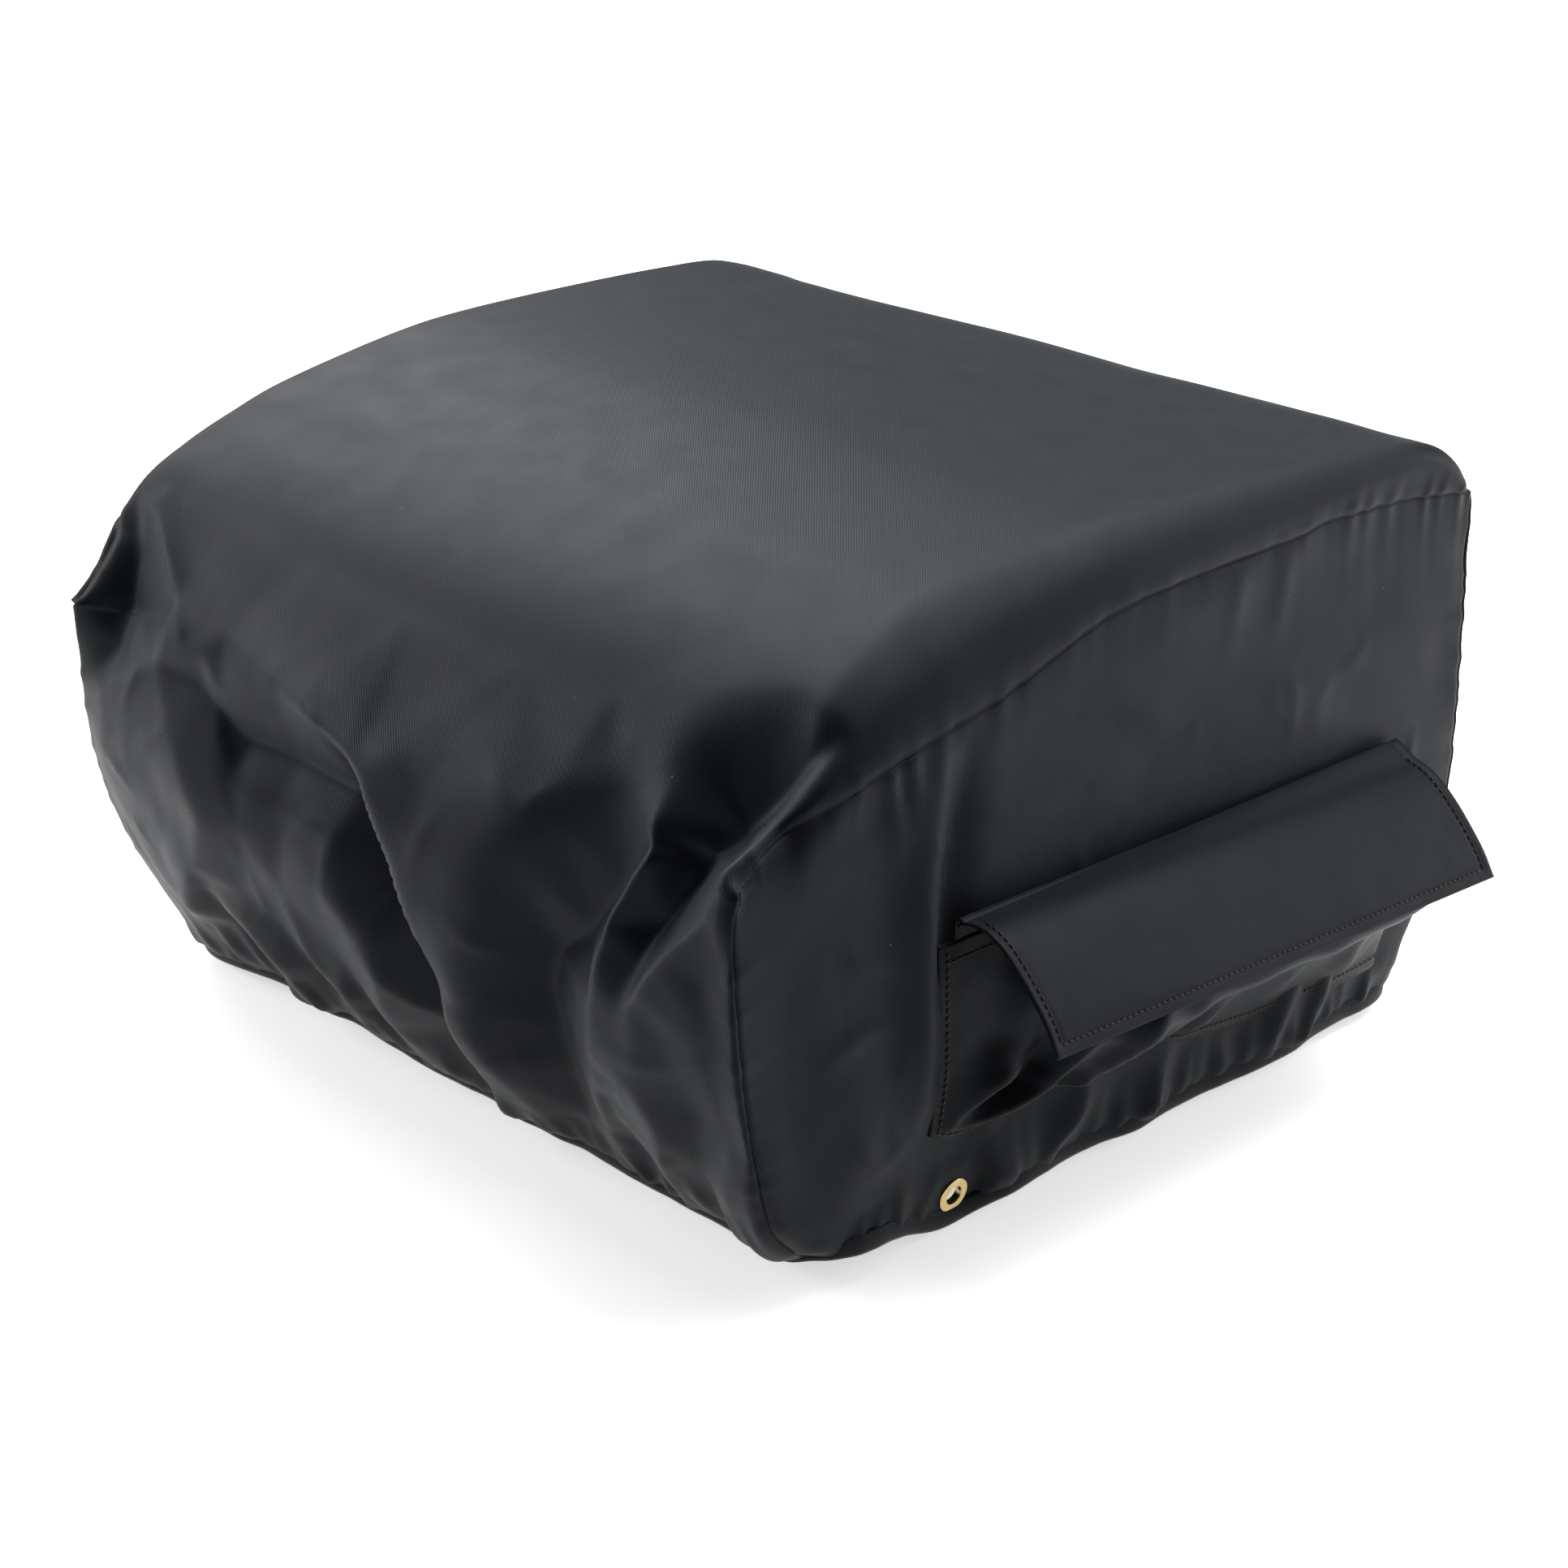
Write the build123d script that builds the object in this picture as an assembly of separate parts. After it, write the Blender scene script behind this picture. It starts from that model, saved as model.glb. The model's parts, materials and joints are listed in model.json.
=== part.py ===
from build123d import *

import os
from math import atan, degrees

# Fitted grill cover of coated polyester, in the shape it keeps over a small tabletop grill.
# Millimetres. +Z up, +X the side with the pocket, -Y the front.
# The origin is the centre of the open mouth, in the plane on which the elastic hem stands.

# ---- driving dimensions -------------------------------------------------------------------

# Body of the cover, over the cloth
HALF_WIDTH = 274.0
HALF_DEPTH = 264.0
CROWN_HEIGHT = 338.0
CROWN_Y = 60.0
SHOULDER_Y = -209.0
SHOULDER_Z = 293.0
BROW_Z = 240.0
BACK_EDGE_Y = 226.0
BACK_EDGE_Z = 330.5
BACK_BROW_Z = 300.0
BROW_RADIUS = 30.0
SHOULDER_RADIUS = 45.0
BACK_EDGE_RADIUS = 30.0
BACK_BROW_RADIUS = 25.0
RIM_RADIUS = 12.0
CLOTH = 1.2

# Skirt: below SKIRT_TOP the elastic draws the walls in towards the hem
SKIRT_TOP = 112.0
SIDE_DRAW_IN = 14.0
FRONT_DRAW_IN = 52.0
BACK_DRAW_IN = 22.0
CORNER_GROWTH = 20.0
DRAW_IN_POWER = 1.7
SKIRT_STEP = 24.0

# Arched seam between the main panel and each side panel
SEAM_INSET = 5.0
SEAM_FRONT_Z = 234.0
SEAM_MIDDLE = (-116.0, 279.5)
SEAM_BEND = (10.0, 304.5)
SEAM_CROWN = (130.0, 309.5)
SEAM_BACK_Z = 298.0
BINDING_WIDTH = 11.0
BINDING_THICKNESS = 1.0

# Elastic hem
CASING_HEIGHT = 10.5
CASING_CLOTH = 1.0
CASING_PLAY = 0.05
PANEL_TUCK = 2.5
ELASTIC_BOTTOM = 1.4
ELASTIC_TOP = 7.6
ELASTIC_GAP = 0.1
THREAD = 0.5

# Patch pocket on the +X side
POCKET_FRONT_Y = -146.0
POCKET_BACK_Y = 210.0
POCKET_BOTTOM = 64.0
POCKET_MOUTH = 153.0
POCKET_BULGE = 50.0
POCKET_EDGE = 5.0
POCKET_CLOTH = 1.0
POCKET_HEM = 13.0
POCKET_STATIONS = (0.0, 0.1, 0.25, 0.5, 0.75, 0.9, 1.0)
POCKET_TOWARDS_WALL = 12.0
POCKET_LOW_SHARE = (0.62, 0.22)
POCKET_BELLY_HEIGHT = 0.58
POCKET_MOUTH_SHARE = 0.66
MOUTH_STITCH_INSET = 2.0

# Flap over the pocket
FLAP_FRONT_Y = -135.0
FLAP_BACK_Y = 203.0
HINGE_X = 279.5
HINGE_Z = 176.0
ROOT_RADIUS = 1.9
ROOT_PLAY = 0.3
ROOT_CLOTH = 1.0
ROOT_BAND_LOW = 166.0
ROOT_BAND_HIGH = 188.0
FLAP_CLOTH = 1.0
FLAP_BEND_RADIUS = 45.0
FLAP_BEND_ANGLE = 42.0
FLAP_HANG_RADIUS = 110.0
FLAP_HANG_ANGLE = 25.0
LINING_SETBACK = 1.5
STITCH_INSET = 6.0
STITCH_START = 14.0  # the side rows start here, clear of the root band when the flap is up
ROOT_STITCH_INSET = 2.0
CRADLE_LIP_ANGLE = 30.0

# Brass eyelets, one low on each side
EYELET_Y = -120.0
EYELET_Z = 21.0
EYELET_BORE_RADIUS = 5.25
EYELET_BARREL_RADIUS = 6.0
EYELET_FLANGE_RADIUS = 9.5
EYELET_METAL = 0.8
EYELET_ROLL = 1.6
EYELET_PLAY = 0.15

TOUCH = 0.05
FAR = 400.0


def slab(low, high):
    """Everything between two heights."""
    return Pos(0, 0, (low + high) / 2) * Box(2 * FAR, 2 * FAR, high - low)


# ---- body of the cover --------------------------------------------------------------------


def side_profile():
    """Side view of the cover: front wall, sloping brow, arched top, back edge, back wall."""
    shoulder_drop = CROWN_HEIGHT - SHOULDER_Z
    shoulder_reach = CROWN_Y - SHOULDER_Y
    front_radius = (shoulder_reach**2 + shoulder_drop**2) / (2 * shoulder_drop)
    back_drop = CROWN_HEIGHT - BACK_EDGE_Z
    back_reach = BACK_EDGE_Y - CROWN_Y
    back_radius = (back_reach**2 + back_drop**2) / (2 * back_drop)
    bottom = SKIRT_TOP - 40
    front_foot = (-HALF_DEPTH, bottom)
    brow = (-HALF_DEPTH, BROW_Z)
    shoulder = (SHOULDER_Y, SHOULDER_Z)
    crown = (CROWN_Y, CROWN_HEIGHT)
    back_edge = (BACK_EDGE_Y, BACK_EDGE_Z)
    back_brow = (HALF_DEPTH, BACK_BROW_Z)
    back_foot = (HALF_DEPTH, bottom)
    outline = Line(front_foot, brow)
    outline += Line(brow, shoulder)
    outline += RadiusArc(shoulder, crown, front_radius)
    outline += RadiusArc(crown, back_edge, back_radius)
    outline += Line(back_edge, back_brow)
    outline += Line(back_brow, back_foot)
    outline += Line(back_foot, front_foot)
    face = make_face(outline.edges())
    roundings = (
        (brow, BROW_RADIUS),
        (shoulder, SHOULDER_RADIUS),
        (back_edge, BACK_EDGE_RADIUS),
        (back_brow, BACK_BROW_RADIUS),
    )
    for corner, radius in roundings:
        vertex = face.vertices().sort_by_distance((*corner, 0))[0]
        face = fillet(vertex, radius)
    return face


def upper_body(inset):
    """Walls and roof above the skirt, as a solid `inset` inside the cloth's outer face."""
    profile = side_profile()
    if inset:
        profile = offset(profile, -inset)
    half_width = HALF_WIDTH - inset
    block = extrude(Plane.YZ * profile, half_width, both=True)
    rims = block.faces().filter_by(Axis.X).edges()
    block = fillet(rims, RIM_RADIUS - inset)
    return block & slab(SKIRT_TOP, FAR)


def skirt_section(height, inset):
    """Rounded rectangle of the skirt at one height, drawn in more the lower it is."""
    depth = (SKIRT_TOP - height) / SKIRT_TOP
    pull = depth**DRAW_IN_POWER
    half_width = HALF_WIDTH - SIDE_DRAW_IN * pull - inset
    front = -HALF_DEPTH + FRONT_DRAW_IN * pull + inset
    back = HALF_DEPTH - BACK_DRAW_IN * pull - inset
    radius = RIM_RADIUS + CORNER_GROWTH * depth - inset
    centre = Pos(0, (front + back) / 2, height)
    return centre * RectangleRounded(2 * half_width, back - front, radius)


def skirt(inset):
    """Skirt down to just under the hem, as a solid."""
    heights = [SKIRT_TOP - step * SKIRT_STEP for step in range(6)]
    return loft([skirt_section(height, inset) for height in heights])


def body(inset):
    return upper_body(inset) + skirt(inset)


def seam_region(inset=0.0):
    """Side view of a side panel, from the hem up to the arched seam."""
    front_seam = []
    back_seam = []
    for height in (0.0, 30.0, 60.0, 90.0, SKIRT_TOP):
        pull = ((SKIRT_TOP - height) / SKIRT_TOP) ** DRAW_IN_POWER
        spread = SEAM_INSET * (1 + pull) + inset
        front_seam.append((-HALF_DEPTH + FRONT_DRAW_IN * pull + spread, height))
        back_seam.append((HALF_DEPTH - BACK_DRAW_IN * pull - spread, height))
    front_ear = (-HALF_DEPTH + SEAM_INSET + inset, SEAM_FRONT_Z - 0.6 * inset)
    back_ear = (HALF_DEPTH - SEAM_INSET - inset, SEAM_BACK_Z - inset)
    middle = (SEAM_MIDDLE[0], SEAM_MIDDLE[1] - inset)
    bend = (SEAM_BEND[0], SEAM_BEND[1] - inset)
    crown = (SEAM_CROWN[0], SEAM_CROWN[1] - inset)
    outline = Spline(*front_seam)
    outline += Line(front_seam[-1], front_ear)
    outline += ThreePointArc(front_ear, middle, bend)
    outline += ThreePointArc(bend, crown, back_ear)
    outline += Line(back_ear, back_seam[-1])
    outline += Spline(*reversed(back_seam))
    outline += Line(back_seam[0], front_seam[0])
    return make_face(outline.edges())


def side_block(side, inset=0.0):
    """The seam region as a block that holds one side wall and its corners."""
    thickness = 60.0
    face = Plane.YZ * seam_region(inset)
    start = HALF_WIDTH - thickness / 2
    block = extrude(face, thickness)
    return Pos(side * (start + thickness / 2) - thickness / 2, 0, 0) * block


outer = body(0)
inner = body(CLOTH)
shell = (outer - inner) & slab(CASING_HEIGHT - PANEL_TUCK, FAR)
right_side_panel = shell & side_block(1)
left_side_panel = shell & side_block(-1)
main_panel = shell - side_block(1) - side_block(-1)


binding_outside = body(CLOTH + TOUCH)
binding_inside = body(CLOTH + TOUCH + BINDING_THICKNESS)


def seam_binding(side):
    """Tape over the raw edges of one seam, pressed flat inside the side panel."""
    ribbon = side_block(side) - side_block(side, BINDING_WIDTH)
    tape = (binding_outside & ribbon) - binding_inside
    return tape & slab(CASING_HEIGHT + 1.0, FAR)


right_seam_binding = seam_binding(1)
left_seam_binding = seam_binding(-1)


# ---- elastic hem --------------------------------------------------------------------------


def ring(low, high, outset, thickness):
    """Band round the hem that follows the skirt."""
    return (skirt(-outset) - skirt(thickness - outset)) & slab(low, high)


leg = CASING_CLOTH
outer_leg = ring(0, CASING_HEIGHT, leg + CASING_PLAY, leg)
inner_leg = ring(0, CASING_HEIGHT, -CLOTH - CASING_PLAY, leg)
fold = ring(0, leg, CASING_PLAY + leg / 2, CLOTH + 2 * CASING_PLAY + leg)
hem_casing = outer_leg + inner_leg + fold
hem_elastic = ring(ELASTIC_BOTTOM, ELASTIC_TOP, -ELASTIC_GAP, CLOTH - 2 * ELASTIC_GAP)
stitch_height = CASING_HEIGHT - 1.6
hem_stitching = ring(
    stitch_height - THREAD, stitch_height, leg + 2 * CASING_PLAY + THREAD, THREAD
)


# ---- pocket -------------------------------------------------------------------------------


def pocket_section(along, inset):
    """Cross-section of the pocket: flat at its two sewn ends, full in the middle.

    `along` runs from 0 at the front end to 1 at the back end.
    """
    y = POCKET_FRONT_Y + (POCKET_BACK_Y - POCKET_FRONT_Y) * along
    fullness = (1 - abs(2 * along - 1) ** 2.6) ** 0.6
    bulge = POCKET_EDGE + (POCKET_BULGE - POCKET_EDGE) * fullness
    wall = HALF_WIDTH - inset
    back = HALF_WIDTH - POCKET_TOWARDS_WALL
    bottom = POCKET_BOTTOM + inset
    top = POCKET_MOUTH + 3.0
    height = POCKET_MOUTH - POCKET_BOTTOM
    foot = (wall + POCKET_EDGE / 2, bottom)
    low_out, low_up = POCKET_LOW_SHARE
    low = (wall + low_out * bulge, POCKET_BOTTOM + low_up * height)
    belly = (wall + bulge, POCKET_BOTTOM + POCKET_BELLY_HEIGHT * height)
    mouth = (wall + POCKET_EDGE + POCKET_MOUTH_SHARE * (bulge - POCKET_EDGE), top)
    outline = Line((back, top), (back, bottom))
    outline += Line((back, bottom), foot)
    outline += Spline(foot, low, belly, mouth)
    outline += Line(mouth, (back, top))
    plane = Plane(origin=(0, y, 0), x_dir=(1, 0, 0), z_dir=(0, -1, 0))
    return plane * make_face(outline.edges())


def pocket_block(inset):
    """Everything between the cover's wall and a skin `inset` inside the pocket's cloth."""
    block = loft([pocket_section(along, inset) for along in POCKET_STATIONS])
    trim = Box(FAR, POCKET_BACK_Y - POCKET_FRONT_Y - 2 * inset, 2 * FAR)
    return block & Pos(HALF_WIDTH, (POCKET_FRONT_Y + POCKET_BACK_Y) / 2, 0) * trim


def pocket_shell(outset, thickness, low, high):
    """Stretch of a skin that lies `outset` outside the pocket's cloth."""
    skin = pocket_block(-outset) - pocket_block(thickness - outset)
    return (skin & slab(low, high)) - wall_side


wall_side = body(-TOUCH)
pocket_front = pocket_shell(0, POCKET_CLOTH, 0, POCKET_MOUTH)
hem_low = POCKET_MOUTH - POCKET_HEM
pocket_mouth_hem = pocket_shell(-POCKET_CLOTH - TOUCH, POCKET_CLOTH, hem_low, POCKET_MOUTH)
thread_outset = TOUCH + THREAD
mouth_thread = hem_low + MOUTH_STITCH_INSET
foot_thread = POCKET_BOTTOM + STITCH_INSET
pocket_stitching = Compound(
    pocket_shell(thread_outset, THREAD, mouth_thread, mouth_thread + THREAD).solids()
    + pocket_shell(thread_outset, THREAD, foot_thread, foot_thread + THREAD).solids()
)


# ---- flap ---------------------------------------------------------------------------------


def flap_point(angle, depth):
    """Point of the hanging flap, `depth` under its outer face, as (x, z)."""
    bend = min(angle, FLAP_BEND_ANGLE)
    top = Vector(HINGE_X, HINGE_Z + ROOT_RADIUS)
    centre = top - Vector(0, FLAP_BEND_RADIUS)
    radius = FLAP_BEND_RADIUS
    if angle > bend:
        centre -= Vector(0, FLAP_HANG_RADIUS - FLAP_BEND_RADIUS).rotate(Axis.Z, -bend)
        radius = FLAP_HANG_RADIUS
    spoke = Vector(0, radius - depth).rotate(Axis.Z, -angle)
    point = centre + spoke
    return (point.X, point.Y)


def flap_edge(start, end, depth):
    """One face of a flap layer between two angles of the flap's curve."""
    turns = [start, end]
    if start < FLAP_BEND_ANGLE < end:
        turns.insert(1, FLAP_BEND_ANGLE)
    edge = Curve()
    for low, high in zip(turns, turns[1:]):
        middle = (low + high) / 2
        edge += ThreePointArc(*[flap_point(angle, depth) for angle in (low, middle, high)])
    return edge


def flap_layer(start, end, top, thickness):
    """Outline of one layer of the flap, its top face `top` under the flap's outer face."""
    low = top + thickness
    outline = flap_edge(start, end, top) + flap_edge(start, end, low)
    outline += Line(flap_point(start, top), flap_point(start, low))
    outline += Line(flap_point(end, top), flap_point(end, low))
    return make_face(outline.edges())


def along_side(face, front, back):
    """Solid of an (x, z) outline between two places along the side of the cover."""
    plane = Plane(origin=(0, back, 0), x_dir=(1, 0, 0), z_dir=(0, -1, 0))
    return extrude(plane * face, back - front)


flap_end = FLAP_BEND_ANGLE + FLAP_HANG_ANGLE
hinge = Pos(HINGE_X, HINGE_Z)
flap_outline = flap_layer(0, flap_end, 0, FLAP_CLOTH) + hinge * Circle(ROOT_RADIUS)
pocket_flap = along_side(flap_outline, FLAP_FRONT_Y, FLAP_BACK_Y)
lining_start = degrees((ROOT_RADIUS + ROOT_PLAY) / (FLAP_BEND_RADIUS - 2 * FLAP_CLOTH))
lining_end = flap_end - degrees(LINING_SETBACK / FLAP_HANG_RADIUS)
lining_outline = flap_layer(lining_start, lining_end, FLAP_CLOTH + TOUCH, FLAP_CLOTH)
flap_lining = along_side(
    lining_outline, FLAP_FRONT_Y + LINING_SETBACK, FLAP_BACK_Y - LINING_SETBACK
)

stitch_angle = degrees(STITCH_INSET / FLAP_HANG_RADIUS)
thread_angle = degrees(THREAD / FLAP_HANG_RADIUS)
thread_top = -TOUCH - THREAD
start_angle = degrees(STITCH_START / FLAP_BEND_RADIUS)
side_outline = flap_layer(start_angle, flap_end - stitch_angle, thread_top, THREAD)
tip_outline = flap_layer(
    flap_end - stitch_angle - thread_angle, flap_end - stitch_angle, thread_top, THREAD
)
front_thread = FLAP_FRONT_Y + STITCH_INSET
back_thread = FLAP_BACK_Y - STITCH_INSET
flap_stitching = along_side(tip_outline, front_thread, back_thread)
flap_stitching += along_side(side_outline, front_thread, front_thread + THREAD)
flap_stitching += along_side(side_outline, back_thread - THREAD, back_thread)

# The root is a turned edge that cradles the flap's rolled start from below
cradle_inner = ROOT_RADIUS + ROOT_PLAY
cradle_outer = cradle_inner + ROOT_CLOTH
cradle = Circle(cradle_outer) - Circle(cradle_inner)
reach = 20.0
lip = Vector(reach, 0).rotate(Axis.Z, -CRADLE_LIP_ANGLE)
opening = make_face(
    Polyline((0, 0), lip, (reach, reach), (-reach, reach), (-reach, 0), close=True)
)
band_face = HALF_WIDTH + TOUCH
band_width = HINGE_X - cradle_inner - band_face - ROOT_PLAY
band_middle = (ROOT_BAND_LOW + ROOT_BAND_HIGH) / 2
band = Rectangle(band_width, ROOT_BAND_HIGH - ROOT_BAND_LOW)
root_outline = hinge * (cradle - opening) + Pos(band_face + band_width / 2, band_middle) * band
flap_root_fold = along_side(root_outline, FLAP_FRONT_Y, FLAP_BACK_Y)

root_thread_x = band_face + band_width + TOUCH + THREAD / 2
root_thread = Rectangle(THREAD, THREAD)
root_threads = [
    Pos(root_thread_x, height) * root_thread
    for height in (ROOT_BAND_LOW + ROOT_STITCH_INSET, ROOT_BAND_HIGH - ROOT_STITCH_INSET)
]
flap_root_stitching = Compound(
    [
        along_side(thread, FLAP_FRONT_Y + ROOT_STITCH_INSET, FLAP_BACK_Y - ROOT_STITCH_INSET).solid()
        for thread in root_threads
    ]
)


# ---- eyelets ------------------------------------------------------------------------------


def wall_at(height):
    """Half width of the skirt at one height, and its slope in degrees."""
    depth = (SKIRT_TOP - height) / SKIRT_TOP
    half_width = HALF_WIDTH - SIDE_DRAW_IN * depth**DRAW_IN_POWER
    slope = SIDE_DRAW_IN * DRAW_IN_POWER * depth ** (DRAW_IN_POWER - 1) / SKIRT_TOP
    return half_width, degrees(atan(slope))


def eyelet_place(side):
    """Local frame of an eyelet: its z axis points out of the cover, square to the wall."""
    half_width, slope = wall_at(EYELET_Z)
    out = Vector(side, 0, 0).rotate(Axis.Y, side * slope)
    return Plane(origin=(side * half_width, EYELET_Y, EYELET_Z), x_dir=(0, 1, 0), z_dir=out)


def tube(outer_radius, inner_radius, low, high):
    ring_face = Circle(outer_radius) - Circle(inner_radius)
    return Pos(0, 0, low) * extrude(ring_face, high - low)


cloth_back = -CLOTH - EYELET_PLAY
flange_front = EYELET_PLAY + EYELET_METAL
roll_back = cloth_back - EYELET_METAL - TOUCH
roll_radius = EYELET_BARREL_RADIUS + EYELET_ROLL
barrel_end = roll_back - EYELET_METAL
eyelet = tube(EYELET_BARREL_RADIUS, EYELET_BORE_RADIUS, barrel_end, flange_front)
flange = tube(EYELET_FLANGE_RADIUS, EYELET_BORE_RADIUS, EYELET_PLAY, flange_front)
flange_rim = flange.edges().filter_by(GeomType.CIRCLE).sort_by(Axis.Z)[-2:]
flange = fillet(flange_rim.sort_by(SortBy.LENGTH)[-1], 0.7 * EYELET_METAL)
eyelet += flange
eyelet += tube(roll_radius, EYELET_BORE_RADIUS, barrel_end, roll_back)
washer = tube(
    EYELET_FLANGE_RADIUS, EYELET_BARREL_RADIUS + TOUCH, cloth_back - EYELET_METAL, cloth_back
)
punch = extrude(Circle(EYELET_BARREL_RADIUS + TOUCH), EYELET_FLANGE_RADIUS, both=True)

grommet_right_eyelet = eyelet_place(1) * eyelet
grommet_right_washer = eyelet_place(1) * washer
grommet_left_eyelet = eyelet_place(-1) * eyelet
grommet_left_washer = eyelet_place(-1) * washer
right_side_panel -= eyelet_place(1) * punch
left_side_panel -= eyelet_place(-1) * punch


# ---- files --------------------------------------------------------------------------------

nodes = {
    "main_panel": main_panel,
    "left_side_panel": left_side_panel,
    "right_side_panel": right_side_panel,
    "left_seam_binding": left_seam_binding,
    "right_seam_binding": right_seam_binding,
    "hem_casing": hem_casing,
    "hem_elastic": hem_elastic,
    "hem_stitching": hem_stitching,
    "pocket_front": pocket_front,
    "pocket_mouth_hem": pocket_mouth_hem,
    "pocket_stitching": pocket_stitching,
    "pocket_flap": pocket_flap,
    "flap_lining": flap_lining,
    "flap_stitching": flap_stitching,
    "flap_root_fold": flap_root_fold,
    "flap_root_stitching": flap_root_stitching,
    "grommet_right_eyelet": grommet_right_eyelet,
    "grommet_right_washer": grommet_right_washer,
    "grommet_left_eyelet": grommet_left_eyelet,
    "grommet_left_washer": grommet_left_washer,
}

os.makedirs("parts", exist_ok=True)
for name, shape in nodes.items():
    export_step(shape, f"parts/{name}.step")
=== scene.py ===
import json
from math import cos, pi, radians, sin

import bpy
import numpy as np
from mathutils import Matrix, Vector
from mathutils.geometry import delaunay_2d_cdt


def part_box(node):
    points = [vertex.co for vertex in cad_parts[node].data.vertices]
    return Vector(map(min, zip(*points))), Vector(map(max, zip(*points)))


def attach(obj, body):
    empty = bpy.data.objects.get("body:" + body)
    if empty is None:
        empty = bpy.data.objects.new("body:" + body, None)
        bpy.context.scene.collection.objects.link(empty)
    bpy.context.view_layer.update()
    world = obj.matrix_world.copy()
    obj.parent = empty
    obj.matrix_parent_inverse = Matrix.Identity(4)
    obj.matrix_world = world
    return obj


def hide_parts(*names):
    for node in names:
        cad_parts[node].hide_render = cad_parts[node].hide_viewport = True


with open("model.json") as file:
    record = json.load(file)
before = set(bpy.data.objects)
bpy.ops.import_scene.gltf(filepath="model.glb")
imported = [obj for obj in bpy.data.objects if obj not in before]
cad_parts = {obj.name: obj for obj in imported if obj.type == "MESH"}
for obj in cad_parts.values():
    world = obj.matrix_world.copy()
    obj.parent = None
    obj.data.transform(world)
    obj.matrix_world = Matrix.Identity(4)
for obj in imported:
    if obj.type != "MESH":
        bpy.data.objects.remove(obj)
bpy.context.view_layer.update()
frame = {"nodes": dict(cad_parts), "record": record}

# ---- Shell cloth ---------------------------------------------------------------------------
# The shell is three panels of coated polyester twill: one long panel over the front, the lid
# and the back, and one panel at each end. They are sewn edge to edge, turned, and pulled over
# the grill, so the cloth is tight over the lid and hangs in folds down the front and the ends.

MM = 0.001
SEAM_INSET = 5.0  # the seams stand this far behind the front wall
end_low = np.array(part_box("right_side_panel")[0]) / MM
HALF_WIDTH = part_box("main_panel")[1][0] / MM
FRONT = end_low[1] - SEAM_INSET
PULL_HEIGHT = 112.0  # below this the elastic draws the cloth in
PULL_END = 14.0  # how far it draws each end in at the hem
WALL_ROWS = 96  # grid rows up a wall, over the lid, and columns across
LID_ROWS = 168
COLUMNS = 200
RUN_POINTS = 3000  # points on a run before it is split into rows

# One seeded source for every uneven thing, drawn from in the order of the file
random = np.random.default_rng(20)


def smooth(low, high, value):
    """0 below low, 1 above high, and an even curve between them."""
    t = np.clip((value - low) / (high - low), 0, 1)
    return t * t * (3 - 2 * t)


def crowd(count, share=0.38):
    """Steps from 0 to 1 that stand closer together at both ends, where the seams are."""
    t = np.linspace(0, 1, count)
    return t - share * np.sin(2 * pi * t) / (2 * pi)


def length_along(points):
    """Distance from a line's first point to each of its points."""
    return np.r_[0, np.cumsum(np.linalg.norm(np.diff(points, axis=0), axis=1))]


def spline(points, count, spacing=None):
    """Points on a smooth curve through the given ones, even unless spacing says otherwise."""
    points = np.array(points, float)
    ends = np.vstack([2 * points[0] - points[1], points, 2 * points[-1] - points[-2]])
    t = np.linspace(0, 1, 20, endpoint=False)[:, None]
    fine = [
        0.5
        * (2 * b + (c - a) * t + (2 * a - 5 * b + 4 * c - d) * t**2 + (3 * b - a - 3 * c + d) * t**3)
        for a, b, c, d in zip(ends, ends[1:], ends[2:], ends[3:])
    ]
    fine = np.vstack([*fine, points[-1:]])
    length = length_along(fine[:, :2])
    at = length[-1] * (np.linspace(0, 1, count) if spacing is None else spacing)
    return np.stack([np.interp(at, length, fine[:, i]) for i in range(fine.shape[1])], axis=1)


def pull(z):
    """Share of the elastic's draw at height z."""
    return (np.clip(PULL_HEIGHT - z, 0, None) / PULL_HEIGHT) ** 1.7


# Centre line of the long panel, as distance behind the front and height. It hangs out from the
# lid's front edge as an apron, and comes back in to the hem.
front_wall = [(57, 13), (50, 22), (34, 44), (16, 75), (5, 110), (-1, 150), (4, 192), (17, 232)]
lid = [(36, 262), (60, 287), (86, 304), (116, 316), (154, 327), (230, 338), (288, 341), (385, 340)]
lid += [(452, 337), (490, 333), (514, 321)]
back_wall = [(526, 298), (531, 262), (531, 200), (529, 150), (524, 105), (516, 65), (507, 30)]
back_wall += [(504, 8)]
# The seams stand at the corners of the box that the cloth is cut for: up the front corner, back
# along the lid's arch and down the back corner.
right_corner = [(52, 20), (38, 32), (16, 54), (3, 91), (-3, 118), (-8, 156), (-11, 197), (-12, 217)]
right_corner += [(-8, 236)]
left_corner = [(66, 8), (52, 34), (36, 66), (23, 104), (14, 148), (8, 186), (6, 227)]
arch = [(46, 256), (98, 269), (163, 281), (236, 302), (314, 307), (374, 308), (404, 311), (465, 308)]
back_corner = [(528, 300), (529, 240), (528, 180), (526, 120), (518, 72), (508, 34), (503, 9)]
wall_steps = crowd(WALL_ROWS)
lid_steps = crowd(LID_ROWS)


def three_runs(front, top, back):
    """One smooth line in three runs, split at the ends of the front and back runs."""
    whole = spline([*front, *top, *back], RUN_POINTS)
    ear = np.argmin(np.hypot(*(whole - front[-1]).T))
    back_ear = np.argmin(np.hypot(*(whole - back[0]).T))
    parts = []
    spans = (
        (0, ear, wall_steps),
        (ear, back_ear, lid_steps),
        (back_ear, RUN_POINTS - 1, wall_steps),
    )
    for low, high, steps in spans:
        at = low + (high - low) * steps
        number = np.arange(RUN_POINTS)
        parts.append(np.stack([np.interp(at, number, whole[:, k]) for k in (0, 1)], axis=1))
    return np.vstack([parts[0][:-1], parts[1], parts[2][1:]])


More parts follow.
